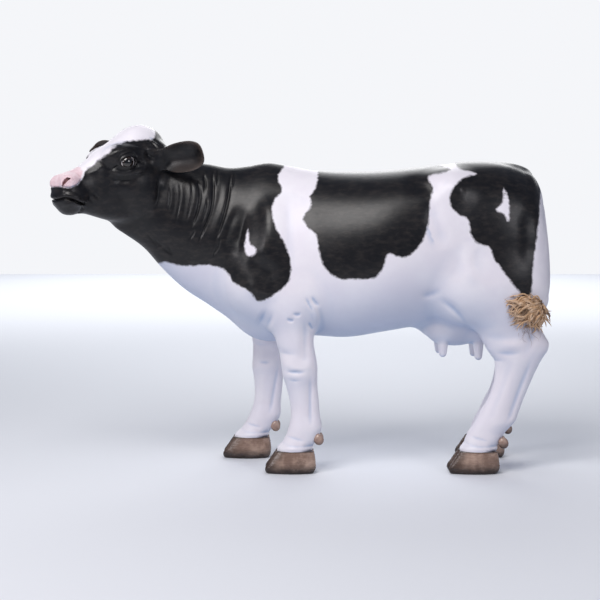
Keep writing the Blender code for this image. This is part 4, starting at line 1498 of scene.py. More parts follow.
def ragged_mask(tree, place, distance, roughen, softness):
    """1 where a stored distance is positive, with an edge that a noise makes ragged."""
    moved = calculate(tree, place, "ADD", distance, roughen)
    return remap(tree, (place[0] + 180, place[1]), moved, -softness, softness)


def make_skin_paint():
    material, tree, shader, vector, bump = new_material("cow paint")
    links = tree.links
    ragged = noise(tree, (-1400, 500), vector, 46.0, 4.0, 0.6)
    wide = calculate(tree, (-1200, 500), "MULTIPLY_ADD", ragged.outputs[0], 0.018, -0.009)
    hollow = read_attribute(tree, (-1400, 250), "hollow")
    relief = place_group(tree, cast_relief, (-1100, -400), vector, Grain_Scale=330.0, Grain=0.22, Wave=0.7)
    # Painted shade: the white is mixed towards blue in hollows and on the parts that face down.
    under = calculate(tree, (-1250, 400), "MULTIPLY", read_attribute(tree, (-1400, 400), "under"), 0.72)
    shade = calculate(tree, (-1100, 300), "MULTIPLY_ADD", hollow, 0.42, under)
    white = place_group(
        tree, hand_paint, (-900, 500), vector, Colour=LILAC_WHITE, Light_Tint=BRIGHT_WHITE,
        Wash=BLUE_SHADE, Cloud_Scale=5.0, Clouds=0.7, Hollow=shade, Gloss=0.40,
    )
    dry = remap(tree, (-1100, 60), relief.outputs["Streak"], 0.40, 0.75)
    bloom = mix_colours(tree, (-900, 60), dry, SOFT_BLACK, BROWN_BLOOM)
    # Painted shade: the black goes deeper black in its hollows and creases.
    coal = place_group(
        tree, hand_paint, (-700, 60), vector, Colour=bloom, Light_Tint=BROWN_BLOOM, Wash=BLACK_SHADE,
        Cloud_Scale=7.0, Clouds=0.25, Hollow=hollow, Gloss=0.32,
    )
    # Painted highlight on the ear rims.
    edge = read_attribute(tree, (-1100, -120), "ear_cup")
    coal_colour = mix_colours(tree, (-450, -50), edge, coal.outputs["Colour"], EAR_RIM_HIGHLIGHT)
    # Painted shade: the pink goes dark red-brown in the nostrils and other hollows.
    nose = place_group(
        tree, hand_paint, (-700, -250), vector, Colour=NOSE_PINK, Light_Tint=NOSE_LIGHT, Wash=NOSE_SHADE,
        Cloud_Scale=28.0, Clouds=0.9, Hollow=hollow, Gloss=0.30,
    )
    black_mask = ragged_mask(tree, (-900, 800), read_attribute(tree, (-1400, 800), "black"), wide, 0.0060)
    pad_mask = ragged_mask(tree, (-900, 1000), read_attribute(tree, (-1400, 1000), "pad"), wide, 0.0060)
    painted = mix_colours(tree, (-350, 400), black_mask, white.outputs["Colour"], coal_colour)
    painted = mix_colours(tree, (-150, 400), pad_mask, painted, nose.outputs["Colour"])
    links.new(painted, shader.inputs["Base Color"])
    gloss = add_node(tree, "ShaderNodeMix", (-350, 150), data_type="FLOAT")
    links.new(black_mask, gloss.inputs[0])
    links.new(white.outputs["Roughness"], gloss.inputs[2])
    links.new(coal.outputs["Roughness"], gloss.inputs[3])
    links.new(gloss.outputs[0], shader.inputs["Roughness"])
    grain, streak = relief.outputs["Height"], relief.outputs["Streak"]
    height = calculate(tree, (-500, -500), "MULTIPLY_ADD", streak, 0.12, grain)
    set_bump(bump, height, 0.35, 0.0022)
    shader.inputs["Specular IOR Level"].default_value = 0.38
    return material


skin.data.materials.clear()
skin.data.materials.append(make_skin_paint())

# %% [markdown]
# ## Eyes
# An eye is a glossy ball behind the lids. The clear front of a real eye stands out a little, and
# that small bulge is what gives the highlight its place, so the ball is turned from a profile that
# has it. Rings of the mesh follow the gaze, and the angle from the gaze is stored, so the iris and
# the white are plain steps of one number. Two more numbers draw the oval pupil.

# %% Eyeballs
EYE_RINGS = 48
EYE_SIDES = 72
CORNEA_BULGE = 0.0028
CORNEA_ANGLE = 0.62
GAZE = np.array([0.14, 1.0, 0.04])


def eyeball(word, side):
    """One eyeball as its own piece; side is 1 for the cow's left and -1 for its right."""
    gaze = GAZE / np.linalg.norm(GAZE)
    across = np.cross(gaze, (0, 0, 1))
    across /= np.linalg.norm(across)
    rise = np.cross(across, gaze)
    rows, aims = [], []
    for ring in range(EYE_RINGS + 1):
        angle = math.pi * ring / EYE_RINGS
        radius = EYE_RADIUS + CORNEA_BULGE * math.exp(-((angle / CORNEA_ANGLE) ** 4))
        for k in range(EYE_SIDES if 0 < ring < EYE_RINGS else 1):
            turn = 2 * math.pi * k / EYE_SIDES
            round_part = math.sin(angle) * (math.cos(turn) * across + math.sin(turn) * rise)
            rows.append(EYE_PLACE + radius * (math.cos(angle) * gaze + round_part))
            aims.append((angle, math.sin(angle) * math.cos(turn), math.sin(angle) * math.sin(turn)))
    faces = []
    last = 1 + (EYE_RINGS - 1) * EYE_SIDES
    for k in range(EYE_SIDES):
        n = (k + 1) % EYE_SIDES
        faces.append((0, 1 + k, 1 + n))
        faces.append((last, last - EYE_SIDES + n, last - EYE_SIDES + k))
        for ring in range(EYE_RINGS - 2):
            a = 1 + ring * EYE_SIDES
            faces.append((a + k, a + EYE_SIDES + k, a + EYE_SIDES + n, a + n))
    points = head_to_world(np.array(rows) * (1, side, 1)) - FRAME_CENTRE
    item = new_mesh(word + "_eyeball", points, faces)
    face_outwards(item)
    item.data.shade_smooth()
    for name, column in (("aim", 0), ("aim_across", 1), ("aim_up", 2)):
        paint_attribute(item, name, np.array(aims)[:, column])
    return item


def face_outwards(item):
    """Turns every face of a closed mesh outwards."""
    shape = bmesh.new()
    shape.from_mesh(item.data)
    bmesh.ops.recalc_face_normals(shape, faces=shape.faces)
    shape.to_mesh(item.data)
    shape.free()


eyeballs = {"left": eyeball("left", 1), "right": eyeball("right", -1)}

# %% Eye paint
IRIS_ANGLE = 0.74
PUPIL_SIZE = (0.46, 0.28)
IRIS_DARK = (0.004, 0.003, 0.003, 1)
IRIS_BROWN = (0.026, 0.014, 0.009, 1)
IRIS_RIM = (0.003, 0.003, 0.004, 1)
PUPIL_BLACK = (0.0008, 0.0008, 0.0012, 1)
EYE_WHITE = (0.74, 0.72, 0.74, 1)
EYE_VEINS = (0.60, 0.42, 0.38, 1)
EYE_SHADE = (0.2, 0.1, 0.1, 1)


def make_eye_paint():
    material, tree, shader, vector, bump = new_material("eye paint")
    links = tree.links
    aim = read_attribute(tree, (-1200, 400), "aim")
    across = read_attribute(tree, (-1200, 200), "aim_across")
    rise = read_attribute(tree, (-1200, 0), "aim_up")
    wide = calculate(tree, (-1100, 200), "DIVIDE", across, PUPIL_SIZE[0])
    wide = calculate(tree, (-1000, 200), "POWER", wide, 2.0)
    tall = calculate(tree, (-1100, 0), "DIVIDE", rise, PUPIL_SIZE[1])
    tall = calculate(tree, (-1000, 0), "POWER", tall, 2.0)
    oval = calculate(tree, (-800, 100), "ADD", wide, tall)
    pupil = remap(tree, (-600, 100), oval, 1.15, 0.85)
    fibres = noise(tree, (-1000, 600), vector, 420.0, 2.0)
    iris = mix_colours(tree, (-600, 500), fibres.outputs[0], IRIS_DARK, IRIS_BROWN)
    iris = mix_colours(tree, (-400, 400), pupil, iris, PUPIL_BLACK)
    rim = remap(tree, (-600, 750), aim, IRIS_ANGLE - 0.13, IRIS_ANGLE - 0.01)
    iris = mix_colours(tree, (-250, 450), rim, iris, IRIS_RIM)
    white = place_group(
        tree, hand_paint, (-600, -200), vector, Colour=EYE_WHITE, Light_Tint=EYE_VEINS, Wash=EYE_SHADE,
        Cloud_Scale=60.0, Clouds=0.35, Hollow=0.0, Gloss=0.10,
    )
    edge = remap(tree, (-400, 700), aim, IRIS_ANGLE - 0.02, IRIS_ANGLE + 0.03)
    links.new(mix_colours(tree, (-60, 350), edge, iris, white.outputs["Colour"]), shader.inputs["Base Color"])
    relief = place_group(tree, cast_relief, (-600, -500), vector, Grain_Scale=500.0, Grain=0.3, Wave=0.2)
    set_bump(bump, relief.outputs["Height"], 0.04, 0.0004)
    shader.inputs["Roughness"].default_value = 0.06
    shader.inputs["Coat Weight"].default_value = 1.0
    shader.inputs["Coat Roughness"].default_value = 0.02
    return material


eye_paint = make_eye_paint()
for item in eyeballs.values():
    item.data.materials.append(eye_paint)

# %% [markdown]
# ## Hooves
# A cow's hoof is two claws. Each claw is flat on the side of the cleft, round at the heel and drawn
# to a blunt point at the toe, and wider at the ground than at the skin. It is lofted from level
# rings. Horn grows down from the skin in faint rings, which are real waves in these walls.

# %% Claws
HOOF_MIDDLES = {
    "front": (FRONT_FOOT_MIDDLE, FRONT_STANCE, FRONT_FOOT_STEP),
    "hind": (HIND_FOOT_MIDDLE, HIND_STANCE, HIND_FOOT_STEP),
}
CLEFT = 0.007
# z, toe and heel from the hoof's middle, half width
CLAW_LEVELS = (
    (0.0, -0.096, 0.096, 0.0285),
    (0.012, -0.103, 0.104, 0.0305),
    (0.055, -0.082, 0.106, 0.0310),
    (0.092, -0.056, 0.098, 0.0280),
)
CLAW_SIDES = 48
CLAW_RINGS = 34
RING_WAVE = 0.00045
RING_COUNT = 9


def claw_ring(row, swell, middle_x, inner_y, side):
    """One level ring of a claw, and how far each of its points is towards the toe."""
    z, toe, heel, half = row
    ring, toes = [], []
    for i in range(CLAW_SIDES):
        angle = 2 * math.pi * i / CLAW_SIDES
        along = (1 - math.cos(angle)) / 2
        bulge = math.sin(angle)
        across = half * bulge * (1 - 0.30 * (1 - along) ** 2) + swell * max(bulge, 0)
        if bulge < 0:
            across = half * math.tanh(1.7 * bulge)
        x = middle_x + toe + (heel - toe) * along - swell * math.cos(angle)
        ring.append((x, inner_y + side * (half + across), z))
        toes.append(1 - along)
    return ring, toes


def claw(name, middle_x, middle_y, side):
    """One claw; side is the way out from the cleft."""
    inner = middle_y + side * CLEFT / 2
    levels = resample(CLAW_LEVELS, CLAW_RINGS)
    levels = np.concatenate([[levels[0] + (0, 0.006, -0.006, -0.003)], levels])
    levels[1, 0] = 0.002
    points, toes = [], []
    for number, row in enumerate(levels):
        depth = 1 - row[0] / HOOF_HEIGHT
        swell = RING_WAVE * math.sin(2 * math.pi * RING_COUNT * depth**1.15) if number > 2 else 0
        ring, share = claw_ring(row, swell, middle_x, inner, side)
        points += ring
        toes += share
    faces = []
    for ring in range(len(levels) - 1):
        for i in range(CLAW_SIDES):
            a, b = ring * CLAW_SIDES + i, ring * CLAW_SIDES + (i + 1) % CLAW_SIDES
            faces.append((a, b, b + CLAW_SIDES, a + CLAW_SIDES))
    faces.append(tuple(range(CLAW_SIDES)))
    faces.append(tuple(range(len(points) - CLAW_SIDES, len(points))))
    item = new_mesh(name, np.array(points) - FRAME_CENTRE, faces)
    face_outwards(item)
    item.data.shade_smooth()
    item.data.set_sharp_from_angle(angle=math.radians(50))
    paint_attribute(item, "toe", toes)
    return item


# %% [markdown]
# The two small claws behind the pastern are knobs of the same horn. They are balls, flattened and
# tilted, with growth rings too.

# %% Dewclaws
DEWCLAW_RADII = np.array([0.021, 0.016, 0.024])
DEWCLAW_TILT = math.radians(-20)
DEWCLAW_APART = 0.027
DEWCLAW_PLACES = {"front": (0.078, 0.140), "hind": (0.848, 0.126)}


def dewclaw(name, x, y, z):
    """One dewclaw, a tilted knob of horn."""
    shape = bmesh.new()
    bmesh.ops.create_uvsphere(shape, u_segments=36, v_segments=28, radius=1)
    for vertex in shape.verts:
        ripple = 1 + 0.018 * math.sin(16 * vertex.co.z)
        vertex.co = Vector((vertex.co.x * ripple, vertex.co.y * ripple, vertex.co.z))
    place = Matrix.Translation((x - FRAME_CENTRE[0], y - FRAME_CENTRE[1], z))
    place = place @ Matrix.Rotation(DEWCLAW_TILT, 4, "Y") @ Matrix.Diagonal((*DEWCLAW_RADII, 1))
    bmesh.ops.transform(shape, matrix=place, verts=shape.verts)
    mesh = bpy.data.meshes.new(name)
    shape.to_mesh(mesh)
    toes = [0.3] * len(shape.verts)
    shape.free()
    item = into_scene(bpy.data.objects.new(name, mesh))
    mesh.shade_smooth()
    paint_attribute(item, "toe", toes)
    return item


claws, dewclaws = {}, {}
for word, side in (("left", -1), ("right", 1)):
    for pair, (middle_x, middle_y, foot_step) in HOOF_MIDDLES.items():
        step = foot_step if side > 0 else 0
        for part, away in (("outer", side), ("inner", -side)):
            node = f"{word}_{pair}_{part}"
            shift = step * (1 - HOOF_HEIGHT / LEG_SWING_HEIGHT)
            claws[node] = claw(node + "_hoof", middle_x + shift, side * middle_y, away)
            back, height = DEWCLAW_PLACES[pair]
            back += step * (1 - height / LEG_SWING_HEIGHT)
            y = side * middle_y + away * DEWCLAW_APART
            dewclaws[node] = dewclaw(node + "_spur", back, y, height)
print("claws:", len(claws), "dewclaws:", len(dewclaws))

# %% [markdown]
# Horn is brown: tan in the middle of the wall, nearly black at the ground and at the toe, with a
# fine dark line at the skin. The stripes run round with the growth rings, so they come from a wave
# on the height, bent a little by noise.

# %% Hoof paint
HORN_BROWN = (0.230, 0.148, 0.112, 1.0)
HORN_TAN = (0.520, 0.370, 0.290, 1.0)
HORN_DARK = (0.020, 0.012, 0.010, 1.0)
SPUR_BROWN = (0.27, 0.175, 0.150, 1.0)
SKIN_LINE = HOOF_HEIGHT - 0.006


def make_hoof_paint(name, low, high, warm, skin_dark):
    """Horn that is darkest at the height low and lightest towards high, with a dark line at the skin."""
    material, tree, shader, vector, bump = new_material(name)
    links = tree.links
    split_axes = add_node(tree, "ShaderNodeSeparateXYZ", (-1350, 250))
    links.new(vector, split_axes.inputs[0])
    z = split_axes.outputs["Z"]
    relief = place_group(tree, cast_relief, (-1100, -400), vector, Grain_Scale=420.0, Grain=0.35, Wave=0.5)
    toe = read_attribute(tree, (-1350, 0), "toe")
    streak = calculate(tree, (-1000, 100), "MULTIPLY_ADD", relief.outputs["Streak"], 0.030, z)
    climb = remap(tree, (-800, 200), calculate(tree, (-900, 200), "SUBTRACT", streak, 0.015), low, high)
    waves = calculate(tree, (-900, -150), "SINE", calculate(tree, (-1000, -150), "MULTIPLY", streak, 620.0))
    paint = place_group(
        tree, hand_paint, (-600, 300), vector, Colour=warm, Light_Tint=HORN_TAN, Wash=HORN_DARK,
        Cloud_Scale=17.0, Clouds=0.90, Hollow=0.0, Gloss=0.24,
    )
    dark = mix_colours(tree, (-350, 250), climb, HORN_DARK, paint.outputs["Colour"])
    at_toe = remap(tree, (-600, 0), toe, 0.62, 1.0, 0.0, 0.75)
    dark = mix_colours(tree, (-180, 200), at_toe, dark, HORN_DARK)
    line = calculate(tree, (-400, -50), "MULTIPLY", remap(tree, (-600, -180), waves, 0.2, 1.0), 0.10)
    lined = mix_colours(tree, (0, 200), line, dark, HORN_DARK)
    skin_line = remap(tree, (-400, -200), z, SKIN_LINE, HOOF_HEIGHT, 0.0, skin_dark)
    links.new(mix_colours(tree, (160, 200), skin_line, lined, HORN_DARK), shader.inputs["Base Color"])
    links.new(paint.outputs["Roughness"], shader.inputs["Roughness"])
    height = calculate(tree, (-350, -500), "MULTIPLY_ADD", waves, 0.35, relief.outputs["Height"])
    set_bump(bump, height, 0.3, 0.0010)
    return material


claw_paint = make_hoof_paint("hoof paint", 0.002, 0.055, HORN_BROWN, 0.8)
spur_paint = make_hoof_paint("spur paint", 0.096, 0.140, SPUR_BROWN, 0.0)
for item in claws.values():
    item.data.materials.append(claw_paint)
for item in dewclaws.values():
    item.data.materials.append(spur_paint)

# %% [markdown]
# ## The switch
# The tail ends in a tuft of golden hair, thrown forward over the left thigh. On a cast statue it is
# not hair but some two hundred carved, wavy locks. Each lock follows a guide: it starts at the end
# of the tail, fans out, and hugs the thigh in a few layers. Python only lays the guides. A Geometry
# Nodes tree gives every guide its waves, its taper and its round section.

# %% Guides of the locks
SWITCH_SEED = 11
SWITCH_ROOT = np.array([0.990, -0.226, 0.700])
GUIDE_POINTS = 11
# how many, shortest, longest, first and last angle of the fan, thickness, layer height
LOCK_KINDS = (
    (84, 0.110, 0.165, 168, 214, 1.00, 0.030),
    (60, 0.075, 0.125, 205, 282, 0.95, 0.034),
    (34, 0.045, 0.090, 120, 330, 0.85, 0.040),
    (40, 0.110, 0.190, 178, 268, 0.34, 0.004),
)
dice = np.random.default_rng(SWITCH_SEED)
# The drape starts outside the thigh, and goes in by a share of the gap at each step.
DRAPE_FROM = -0.34
DRAPE_STEPS = 24
DRAPE_SHARE = 0.9
NEAREST_LOCK = -0.205


def drape(points, lift):
    """Lays points on the left of the skin, each lifted off it by the given height."""
    laid = points.copy()
    laid[:, 1] = DRAPE_FROM
    for _ in range(DRAPE_STEPS):
        laid[:, 1] += DRAPE_SHARE * (skin_field(laid) - lift)
    laid[:, 1] = np.minimum(laid[:, 1], NEAREST_LOCK)
    return laid


guides, lock_rows = [], []
for kind, (count, shortest, longest, first, last, thick, layer) in enumerate(LOCK_KINDS):
    for number in range(count):
        share = (number + dice.random()) / count
        angle = math.radians(first + (last - first) * share)
        length = dice.uniform(shortest, longest)
        curl = math.radians(dice.uniform(18, 58))
        places = np.linspace(0, 1, GUIDE_POINTS)
        sway = dice.uniform(0.35, 0.90)
        wave = sway * np.sin(2 * np.pi * (dice.uniform(0.7, 1.5) * places + dice.random()))
        turned = angle + curl * (places - 0.45) + wave * np.minimum(1, 3 * places)
        steps = np.column_stack([np.cos(turned), np.zeros(GUIDE_POINTS), np.sin(turned)])
        steps *= length / (GUIDE_POINTS - 1)
        start = SWITCH_ROOT + dice.normal(0, 1, 3) * (0.008, 0, 0.010)
        line = start + np.cumsum(steps, axis=0) - steps[0]
        crown = np.sin(np.pi * (0.12 + 0.86 * places)) ** 0.8
        lift = 0.0025 + (layer * dice.random() + 0.1 * layer) * crown
        guides.append((line, lift))
        lock_rows.append((share, kind, thick * dice.uniform(0.75, 1.2), dice.random()))
lines = np.concatenate([line for line, lift in guides])
lines = drape(lines, np.concatenate([lift for line, lift in guides]))
print("locks:", len(guides), "guide points:", len(lines))

edges = [
    (lock * GUIDE_POINTS + i, lock * GUIDE_POINTS + i + 1)
    for lock in range(len(guides))
    for i in range(GUIDE_POINTS - 1)
]
switch = new_mesh("switch", lines - FRAME_CENTRE, [], edges)
lock_rows = np.repeat(np.array(lock_rows), GUIDE_POINTS, axis=0)
for name, column in (("lock", None), ("fan", 0), ("kind", 1), ("thick", 2), ("phase", 3)):
    values = np.arange(len(lines)) // GUIDE_POINTS if column is None else lock_rows[:, column]
    paint_attribute(switch, name, values)

# %% [markdown]
# The tree turns the guide edges into curves, resamples them, moves their points by a noise that
# grows towards the tips, and sweeps a small circle along each. The scale of the circle is a taper:
# thin at the root, full in the middle, fine at the tip. It stores how far along and round the lock
# each point is, which the paint and the UV map use afterwards.

# %% Lock tree
STORE_NUMBER = "GeometryNodeStoreNamedAttribute"
READ_NUMBER = "GeometryNodeInputNamedAttribute"


def named_number(tree, kind, place, name):
    """A node that stores or reads the number that a point keeps under a name."""
    node = add_node(tree, kind, place, data_type="FLOAT")
    node.inputs["Name"].default_value = name
    return node


def make_lock_tree():
    """Turns guide edges into wavy, tapered locks."""
    tree = bpy.data.node_groups.new("carved locks", "GeometryNodeTree")
    tree.interface.new_socket("Geometry", in_out="INPUT", socket_type="NodeSocketGeometry")
    for name, kind, value in (
        ("Points", "NodeSocketInt", 18), ("Sides", "NodeSocketInt", 6), ("Lock Radius", NUMBER, 0.0036),
        ("Wave Height", NUMBER, 0.030), ("Wave Scale", NUMBER, 30.0), ("Paint", "NodeSocketMaterial", None),
    ):
        socket = tree.interface.new_socket(name, in_out="INPUT", socket_type=kind)
        if value is not None:
            socket.default_value = value
    tree.interface.new_socket("Geometry", in_out="OUTPUT", socket_type="NodeSocketGeometry")
    links = tree.links
    start = add_node(tree, "NodeGroupInput", (-1400, 0))
    end = add_node(tree, "NodeGroupOutput", (1400, 0))
    to_curve = add_node(tree, "GeometryNodeMeshToCurve", (-1200, 0))
    resampled = add_node(tree, "GeometryNodeResampleCurve", (-1000, 0), mode="COUNT")
    along = add_node(tree, "GeometryNodeSplineParameter", (-1200, -400))
    keep_along = named_number(tree, STORE_NUMBER, (-800, 0), "along")
    phase = named_number(tree, READ_NUMBER, (-1200, -600), "phase")
    thick = named_number(tree, READ_NUMBER, (-400, -500), "thick")
    position = add_node(tree, "GeometryNodeInputPosition", (-1200, -750))
    moved = add_node(tree, "ShaderNodeVectorMath", (-1000, -650), operation="ADD")
    waves = add_node(tree, "ShaderNodeTexNoise", (-820, -650))
    waves.inputs["Detail"].default_value = 1.0
    centred = add_node(tree, "ShaderNodeVectorMath", (-640, -650), operation="SUBTRACT")
    centred.inputs[1].default_value = (0.5, 0.5, 0.5)
    grown = calculate(tree, (-1000, -300), "POWER", along.outputs["Factor"], 0.7)
    reach = calculate(tree, (-640, -400), "MULTIPLY", grown, start.outputs["Wave Height"])
    offset = add_node(tree, "ShaderNodeVectorMath", (-460, -650), operation="SCALE")
    place = add_node(tree, "GeometryNodeSetPosition", (-400, 0))
    taper = add_node(tree, "ShaderNodeFloatCurve", (-600, -200))
    points = taper.mapping.curves[0].points
    points[0].location = (0.0, 0.55)
    points[1].location = (1.0, 0.10)
    for spot in ((0.25, 0.95), (0.60, 0.90), (0.88, 0.45)):
        points.new(*spot)
    radius = calculate(tree, (-200, -300), "MULTIPLY", taper.outputs["Value"], thick.outputs["Attribute"])
    radius = calculate(tree, (0, -300), "MULTIPLY", radius, start.outputs["Lock Radius"])
    profile = add_node(tree, "GeometryNodeCurvePrimitiveCircle", (-200, 250), mode="RADIUS")
    profile.inputs["Radius"].default_value = 1.0
    around = add_node(tree, "GeometryNodeSplineParameter", (-200, 420))
    keep_around = named_number(tree, STORE_NUMBER, (0, 250), "around")
    sweep = add_node(tree, "GeometryNodeCurveToMesh", (250, 0))
    sweep.inputs["Fill Caps"].default_value = True
    realize = add_node(tree, "GeometryNodeRealizeInstances", (500, 0))
    paint = add_node(tree, "GeometryNodeSetMaterial", (700, 0))
    for output, target in (
        (start.outputs["Geometry"], to_curve.inputs["Mesh"]),
        (to_curve.outputs["Curve"], resampled.inputs["Curve"]),
        (start.outputs["Points"], resampled.inputs["Count"]),
        (resampled.outputs["Curve"], keep_along.inputs["Geometry"]),
        (along.outputs["Factor"], keep_along.inputs["Value"]),
        (position.outputs[0], moved.inputs[0]),
        (phase.outputs["Attribute"], moved.inputs[1]),
        (moved.outputs[0], waves.inputs["Vector"]),
        (start.outputs["Wave Scale"], waves.inputs["Scale"]),
        (waves.outputs["Color"], centred.inputs[0]),
        (centred.outputs[0], offset.inputs[0]),
        (reach, offset.inputs["Scale"]),
        (keep_along.outputs["Geometry"], place.inputs["Geometry"]),
        (offset.outputs[0], place.inputs["Offset"]),
        (along.outputs["Factor"], taper.inputs["Value"]),
        (start.outputs["Sides"], profile.inputs["Resolution"]),
        (profile.outputs["Curve"], keep_around.inputs["Geometry"]),
        (around.outputs["Factor"], keep_around.inputs["Value"]),
        (place.outputs["Geometry"], sweep.inputs["Curve"]),
        (keep_around.outputs["Geometry"], sweep.inputs["Profile Curve"]),
        (radius, sweep.inputs["Scale"]),
        (sweep.outputs["Mesh"], realize.inputs["Geometry"]),
        (realize.outputs["Geometry"], paint.inputs["Geometry"]),
        (start.outputs["Paint"], paint.inputs["Material"]),
        (paint.outputs["Geometry"], end.inputs["Geometry"]),
    ):
        links.new(output, target)
    return tree


# %% Hair paint
GOLD = (0.46, 0.27, 0.135, 1.0)
PALE_GOLD = (0.78, 0.58, 0.42, 1.0)
GOLD_SHADE = (0.040, 0.014, 0.006, 1.0)
LILAC_GREY = (0.46, 0.42, 0.47, 1.0)


def make_hair_paint():
    material, tree, shader, vector, bump = new_material("hair paint")
    links = tree.links
    along = read_attribute(tree, (-1300, 300), "along")
    phase = read_attribute(tree, (-1300, 100), "phase")
    kind = read_attribute(tree, (-1300, -100), "kind")
    relief = place_group(tree, cast_relief, (-1100, -400), vector, Grain_Scale=900.0, Grain=0.4, Wave=0.3)
    # Painted shade: some locks are darker, as if lying in the crevices between others.
    shaded = remap(tree, (-950, 150), phase, 0.62, 1.0, 0.0, 0.75)
    paint = place_group(
        tree, hand_paint, (-700, 300), vector, Colour=GOLD, Light_Tint=PALE_GOLD, Wash=GOLD_SHADE,
        Cloud_Scale=45.0, Clouds=0.8, Hollow=shaded, Gloss=0.48,
    )
    tip = remap(tree, (-700, 550), along, 0.55, 1.0, 0.0, 0.45)
    tipped = mix_colours(tree, (-450, 350), tip, paint.outputs["Colour"], PALE_GOLD)
    # Painted shade at the roots, where the locks bunch together.
    root = remap(tree, (-700, 50), along, 0.22, 0.0, 0.0, 0.8)
    tipped = mix_colours(tree, (-250, 300), root, tipped, GOLD_SHADE)
    wisp = remap(tree, (-700, -100), kind, 2.4, 2.9, 0.0, 0.85)
    links.new(mix_colours(tree, (-60, 250), wisp, tipped, LILAC_GREY), shader.inputs["Base Color"])
    links.new(paint.outputs["Roughness"], shader.inputs["Roughness"])
    set_bump(bump, relief.outputs["Height"], 0.4, 0.0006)
    return material


# %% Locks from the guides
def set_inputs(modifier, **values):
    """Sets a Geometry Nodes modifier's inputs by the names of its sockets."""
    for item in modifier.node_group.interface.items_tree:
        name = item.name.replace(" ", "_")
        if item.item_type == "SOCKET" and item.in_out == "INPUT" and name in values:
            modifier[item.identifier] = values[name]


locks = switch.modifiers.new("carved locks", "NODES")
locks.node_group = make_lock_tree()
hair_paint = make_hair_paint()
set_inputs(
    locks, Points=18, Sides=6, Lock_Radius=0.0052, Wave_Height=0.050, Wave_Scale=17.0, Paint=hair_paint,
)
apply_modifiers(switch)
face_outwards(switch)
switch.data.shade_smooth()
print("switch:", len(switch.data.polygons), "faces")

# %% [markdown]
# Fine hair gets a UV map of its own for baking, in which every lock is only a tiny patch at the
# place of its root. The patches are laid out by two plain measures: how far round the fan a lock
# leaves the tail, and its number counted round twelve rows.

# %% UV map for baking
PATCH = 0.003
LAYER_ROWS = 12


def read_numbers(mesh, name):
    layer = mesh.attributes[name]
    values = np.empty(len(layer.data), np.float32)
    layer.data.foreach_get("value", values)
    return values


mesh = switch.data
corner_vertices = np.empty(len(mesh.loops), np.int64)
mesh.loops.foreach_get("vertex_index", corner_vertices)
lock = read_numbers(mesh, "lock")[corner_vertices]
root_u = 0.05 + 0.9 * read_numbers(mesh, "fan")[corner_vertices]
root_v = 0.05 + 0.9 * (np.round(lock) % LAYER_ROWS) / LAYER_ROWS
patch_u = PATCH * (read_numbers(mesh, "around")[corner_vertices] - 0.5)
patch_v = PATCH * (read_numbers(mesh, "along")[corner_vertices] - 0.5)
uv_map = mesh.uv_layers.new(name="OFBake")
uv_places = np.column_stack([root_u + patch_u, root_v + patch_v]).astype(np.float32)
uv_map.data.foreach_set("uv", uv_places.ravel())
print("UV map:", uv_map.name, "with", len(mesh.loops), "corners")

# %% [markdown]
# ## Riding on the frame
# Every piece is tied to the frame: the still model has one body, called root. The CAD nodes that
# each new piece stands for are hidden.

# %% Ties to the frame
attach(skin, "root")
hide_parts("head", "neck", "trunk", "udder", "tail")
for word in ("left", "right"):
    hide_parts(word + "_ear", word + "_front_leg", word + "_hind_leg")
    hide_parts(word + "_front_teat", word + "_rear_teat")
    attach(eyeballs[word], "root")
    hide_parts(word + "_eye")
for node, item in claws.items():
    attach(item, "root")
    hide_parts(node + "_claw")
for node, item in dewclaws.items():
    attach(item, "root")
    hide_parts(node + "_dewclaw")
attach(switch, "root")
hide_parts("tail_switch")

# %% [markdown]
# ## Floor, light and camera
# The studio is plain: a pale floor in front of a pale world, one large soft light from above,
# weaker ones towards the head, the rump and the back, and a wide one that washes the floor behind.
# The dim, cool world lifts the belly. The camera stands five metres off the left flank, a little
# over a metre up, with a long lens.

# %% Floor
FLOOR_SIZE = 36.0
FLOOR_COLOUR = (0.78, 0.80, 0.84, 1)
half = FLOOR_SIZE / 2
floor_corners = [(-half, -half, 0), (half, -half, 0), (half, half, 0), (-half, half, 0)]
floor = new_mesh("floor", floor_corners, [(0, 1, 2, 3)])
floor_paint = bpy.data.materials.new("floor")
floor_paint.use_nodes = True
floor_shader = floor_paint.node_tree.nodes["Principled BSDF"]
floor_shader.inputs["Base Color"].default_value = FLOOR_COLOUR
floor_shader.inputs["Roughness"].default_value = 0.9
floor.data.materials.append(floor_paint)


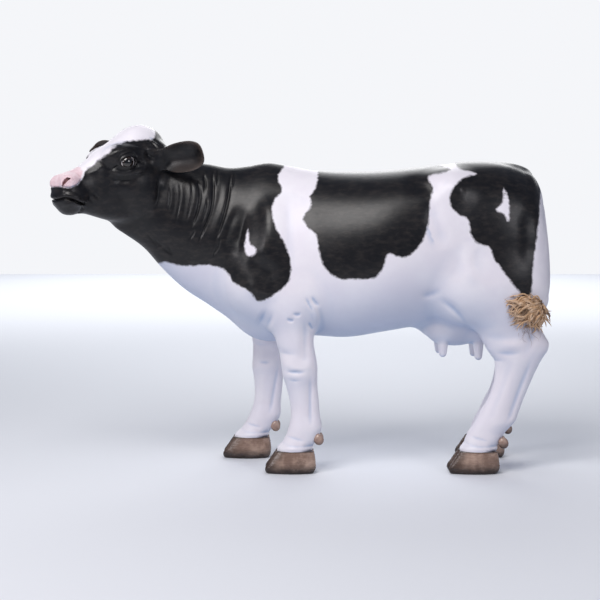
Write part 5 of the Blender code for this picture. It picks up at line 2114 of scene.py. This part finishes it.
# %% Lights
def area_light(name, place, aim, size, power, colour):
    """A soft square light at a place, turned to face a point."""
    light = bpy.data.objects.new(name, bpy.data.lights.new(name, "AREA"))
    light.data.size = size
    light.data.energy = power
    light.data.color = colour
    light.location = place
    light.rotation_euler = (Vector(aim) - Vector(place)).to_track_quat("-Z", "Y").to_euler()
    into_scene(light)


area_light("key", (-1.2, -2.8, 4.2), (0, 0, 0.9), 2.4, 140, (1.0, 0.97, 0.95))
area_light("front", (-3.6, -3.2, 2.2), (-0.4, 0, 0.9), 1.4, 40, (1.0, 0.96, 0.98))
area_light("side", (3.2, -3.2, 2.4), (0.4, 0, 0.8), 1.6, 32, (0.98, 0.96, 1.0))
area_light("back", (0.5, 3.5, 3.6), (0, 0, 0.8), 3.0, 50, (1.0, 1.0, 1.0))
area_light("backdrop wash", (0, 13.0, 4.5), (0, 13.0, 0), 16.0, 1300, (1.0, 1.0, 1.0))
# What the world sends to the cow is dimmer and cooler than the pale wall that the camera sees.
WORLD_LIGHT = 0.19
WORLD_BACKDROP = 0.95
COOL_SKY = (0.68, 0.76, 1.0, 1)
PALE_SKY = (0.96, 0.97, 1.0, 1)
world = bpy.data.worlds.new("studio")
bpy.context.scene.world = world
world.use_nodes = True
world_tree = world.node_tree
seen = add_node(world_tree, "ShaderNodeLightPath", (-600, 0))
to_camera = seen.outputs["Is Camera Ray"]
brightness = remap(world_tree, (-300, 0), to_camera, 0, 1, WORLD_LIGHT, WORLD_BACKDROP)
backdrop = world_tree.nodes["Background"]
sky = mix_colours(world_tree, (-300, 200), to_camera, COOL_SKY, PALE_SKY)
world_tree.links.new(sky, backdrop.inputs["Color"])
world_tree.links.new(brightness, backdrop.inputs["Strength"])

# %% Camera
CAMERA_DISTANCE = 5.0
CAMERA_HEIGHT = 1.05
CAMERA_LENS = 69.2
CAMERA_SHIFT = -0.131
camera = into_scene(bpy.data.objects.new("camera", bpy.data.cameras.new("camera")))
camera.location = (-FRAME_CENTRE[0], -CAMERA_DISTANCE - FRAME_CENTRE[1], CAMERA_HEIGHT)
camera.rotation_euler = (math.radians(90), 0, 0)
camera.data.lens = CAMERA_LENS
camera.data.sensor_width = 36
camera.data.shift_y = CAMERA_SHIFT
bpy.context.scene.camera = camera
bpy.context.scene.view_settings.view_transform = "Standard"
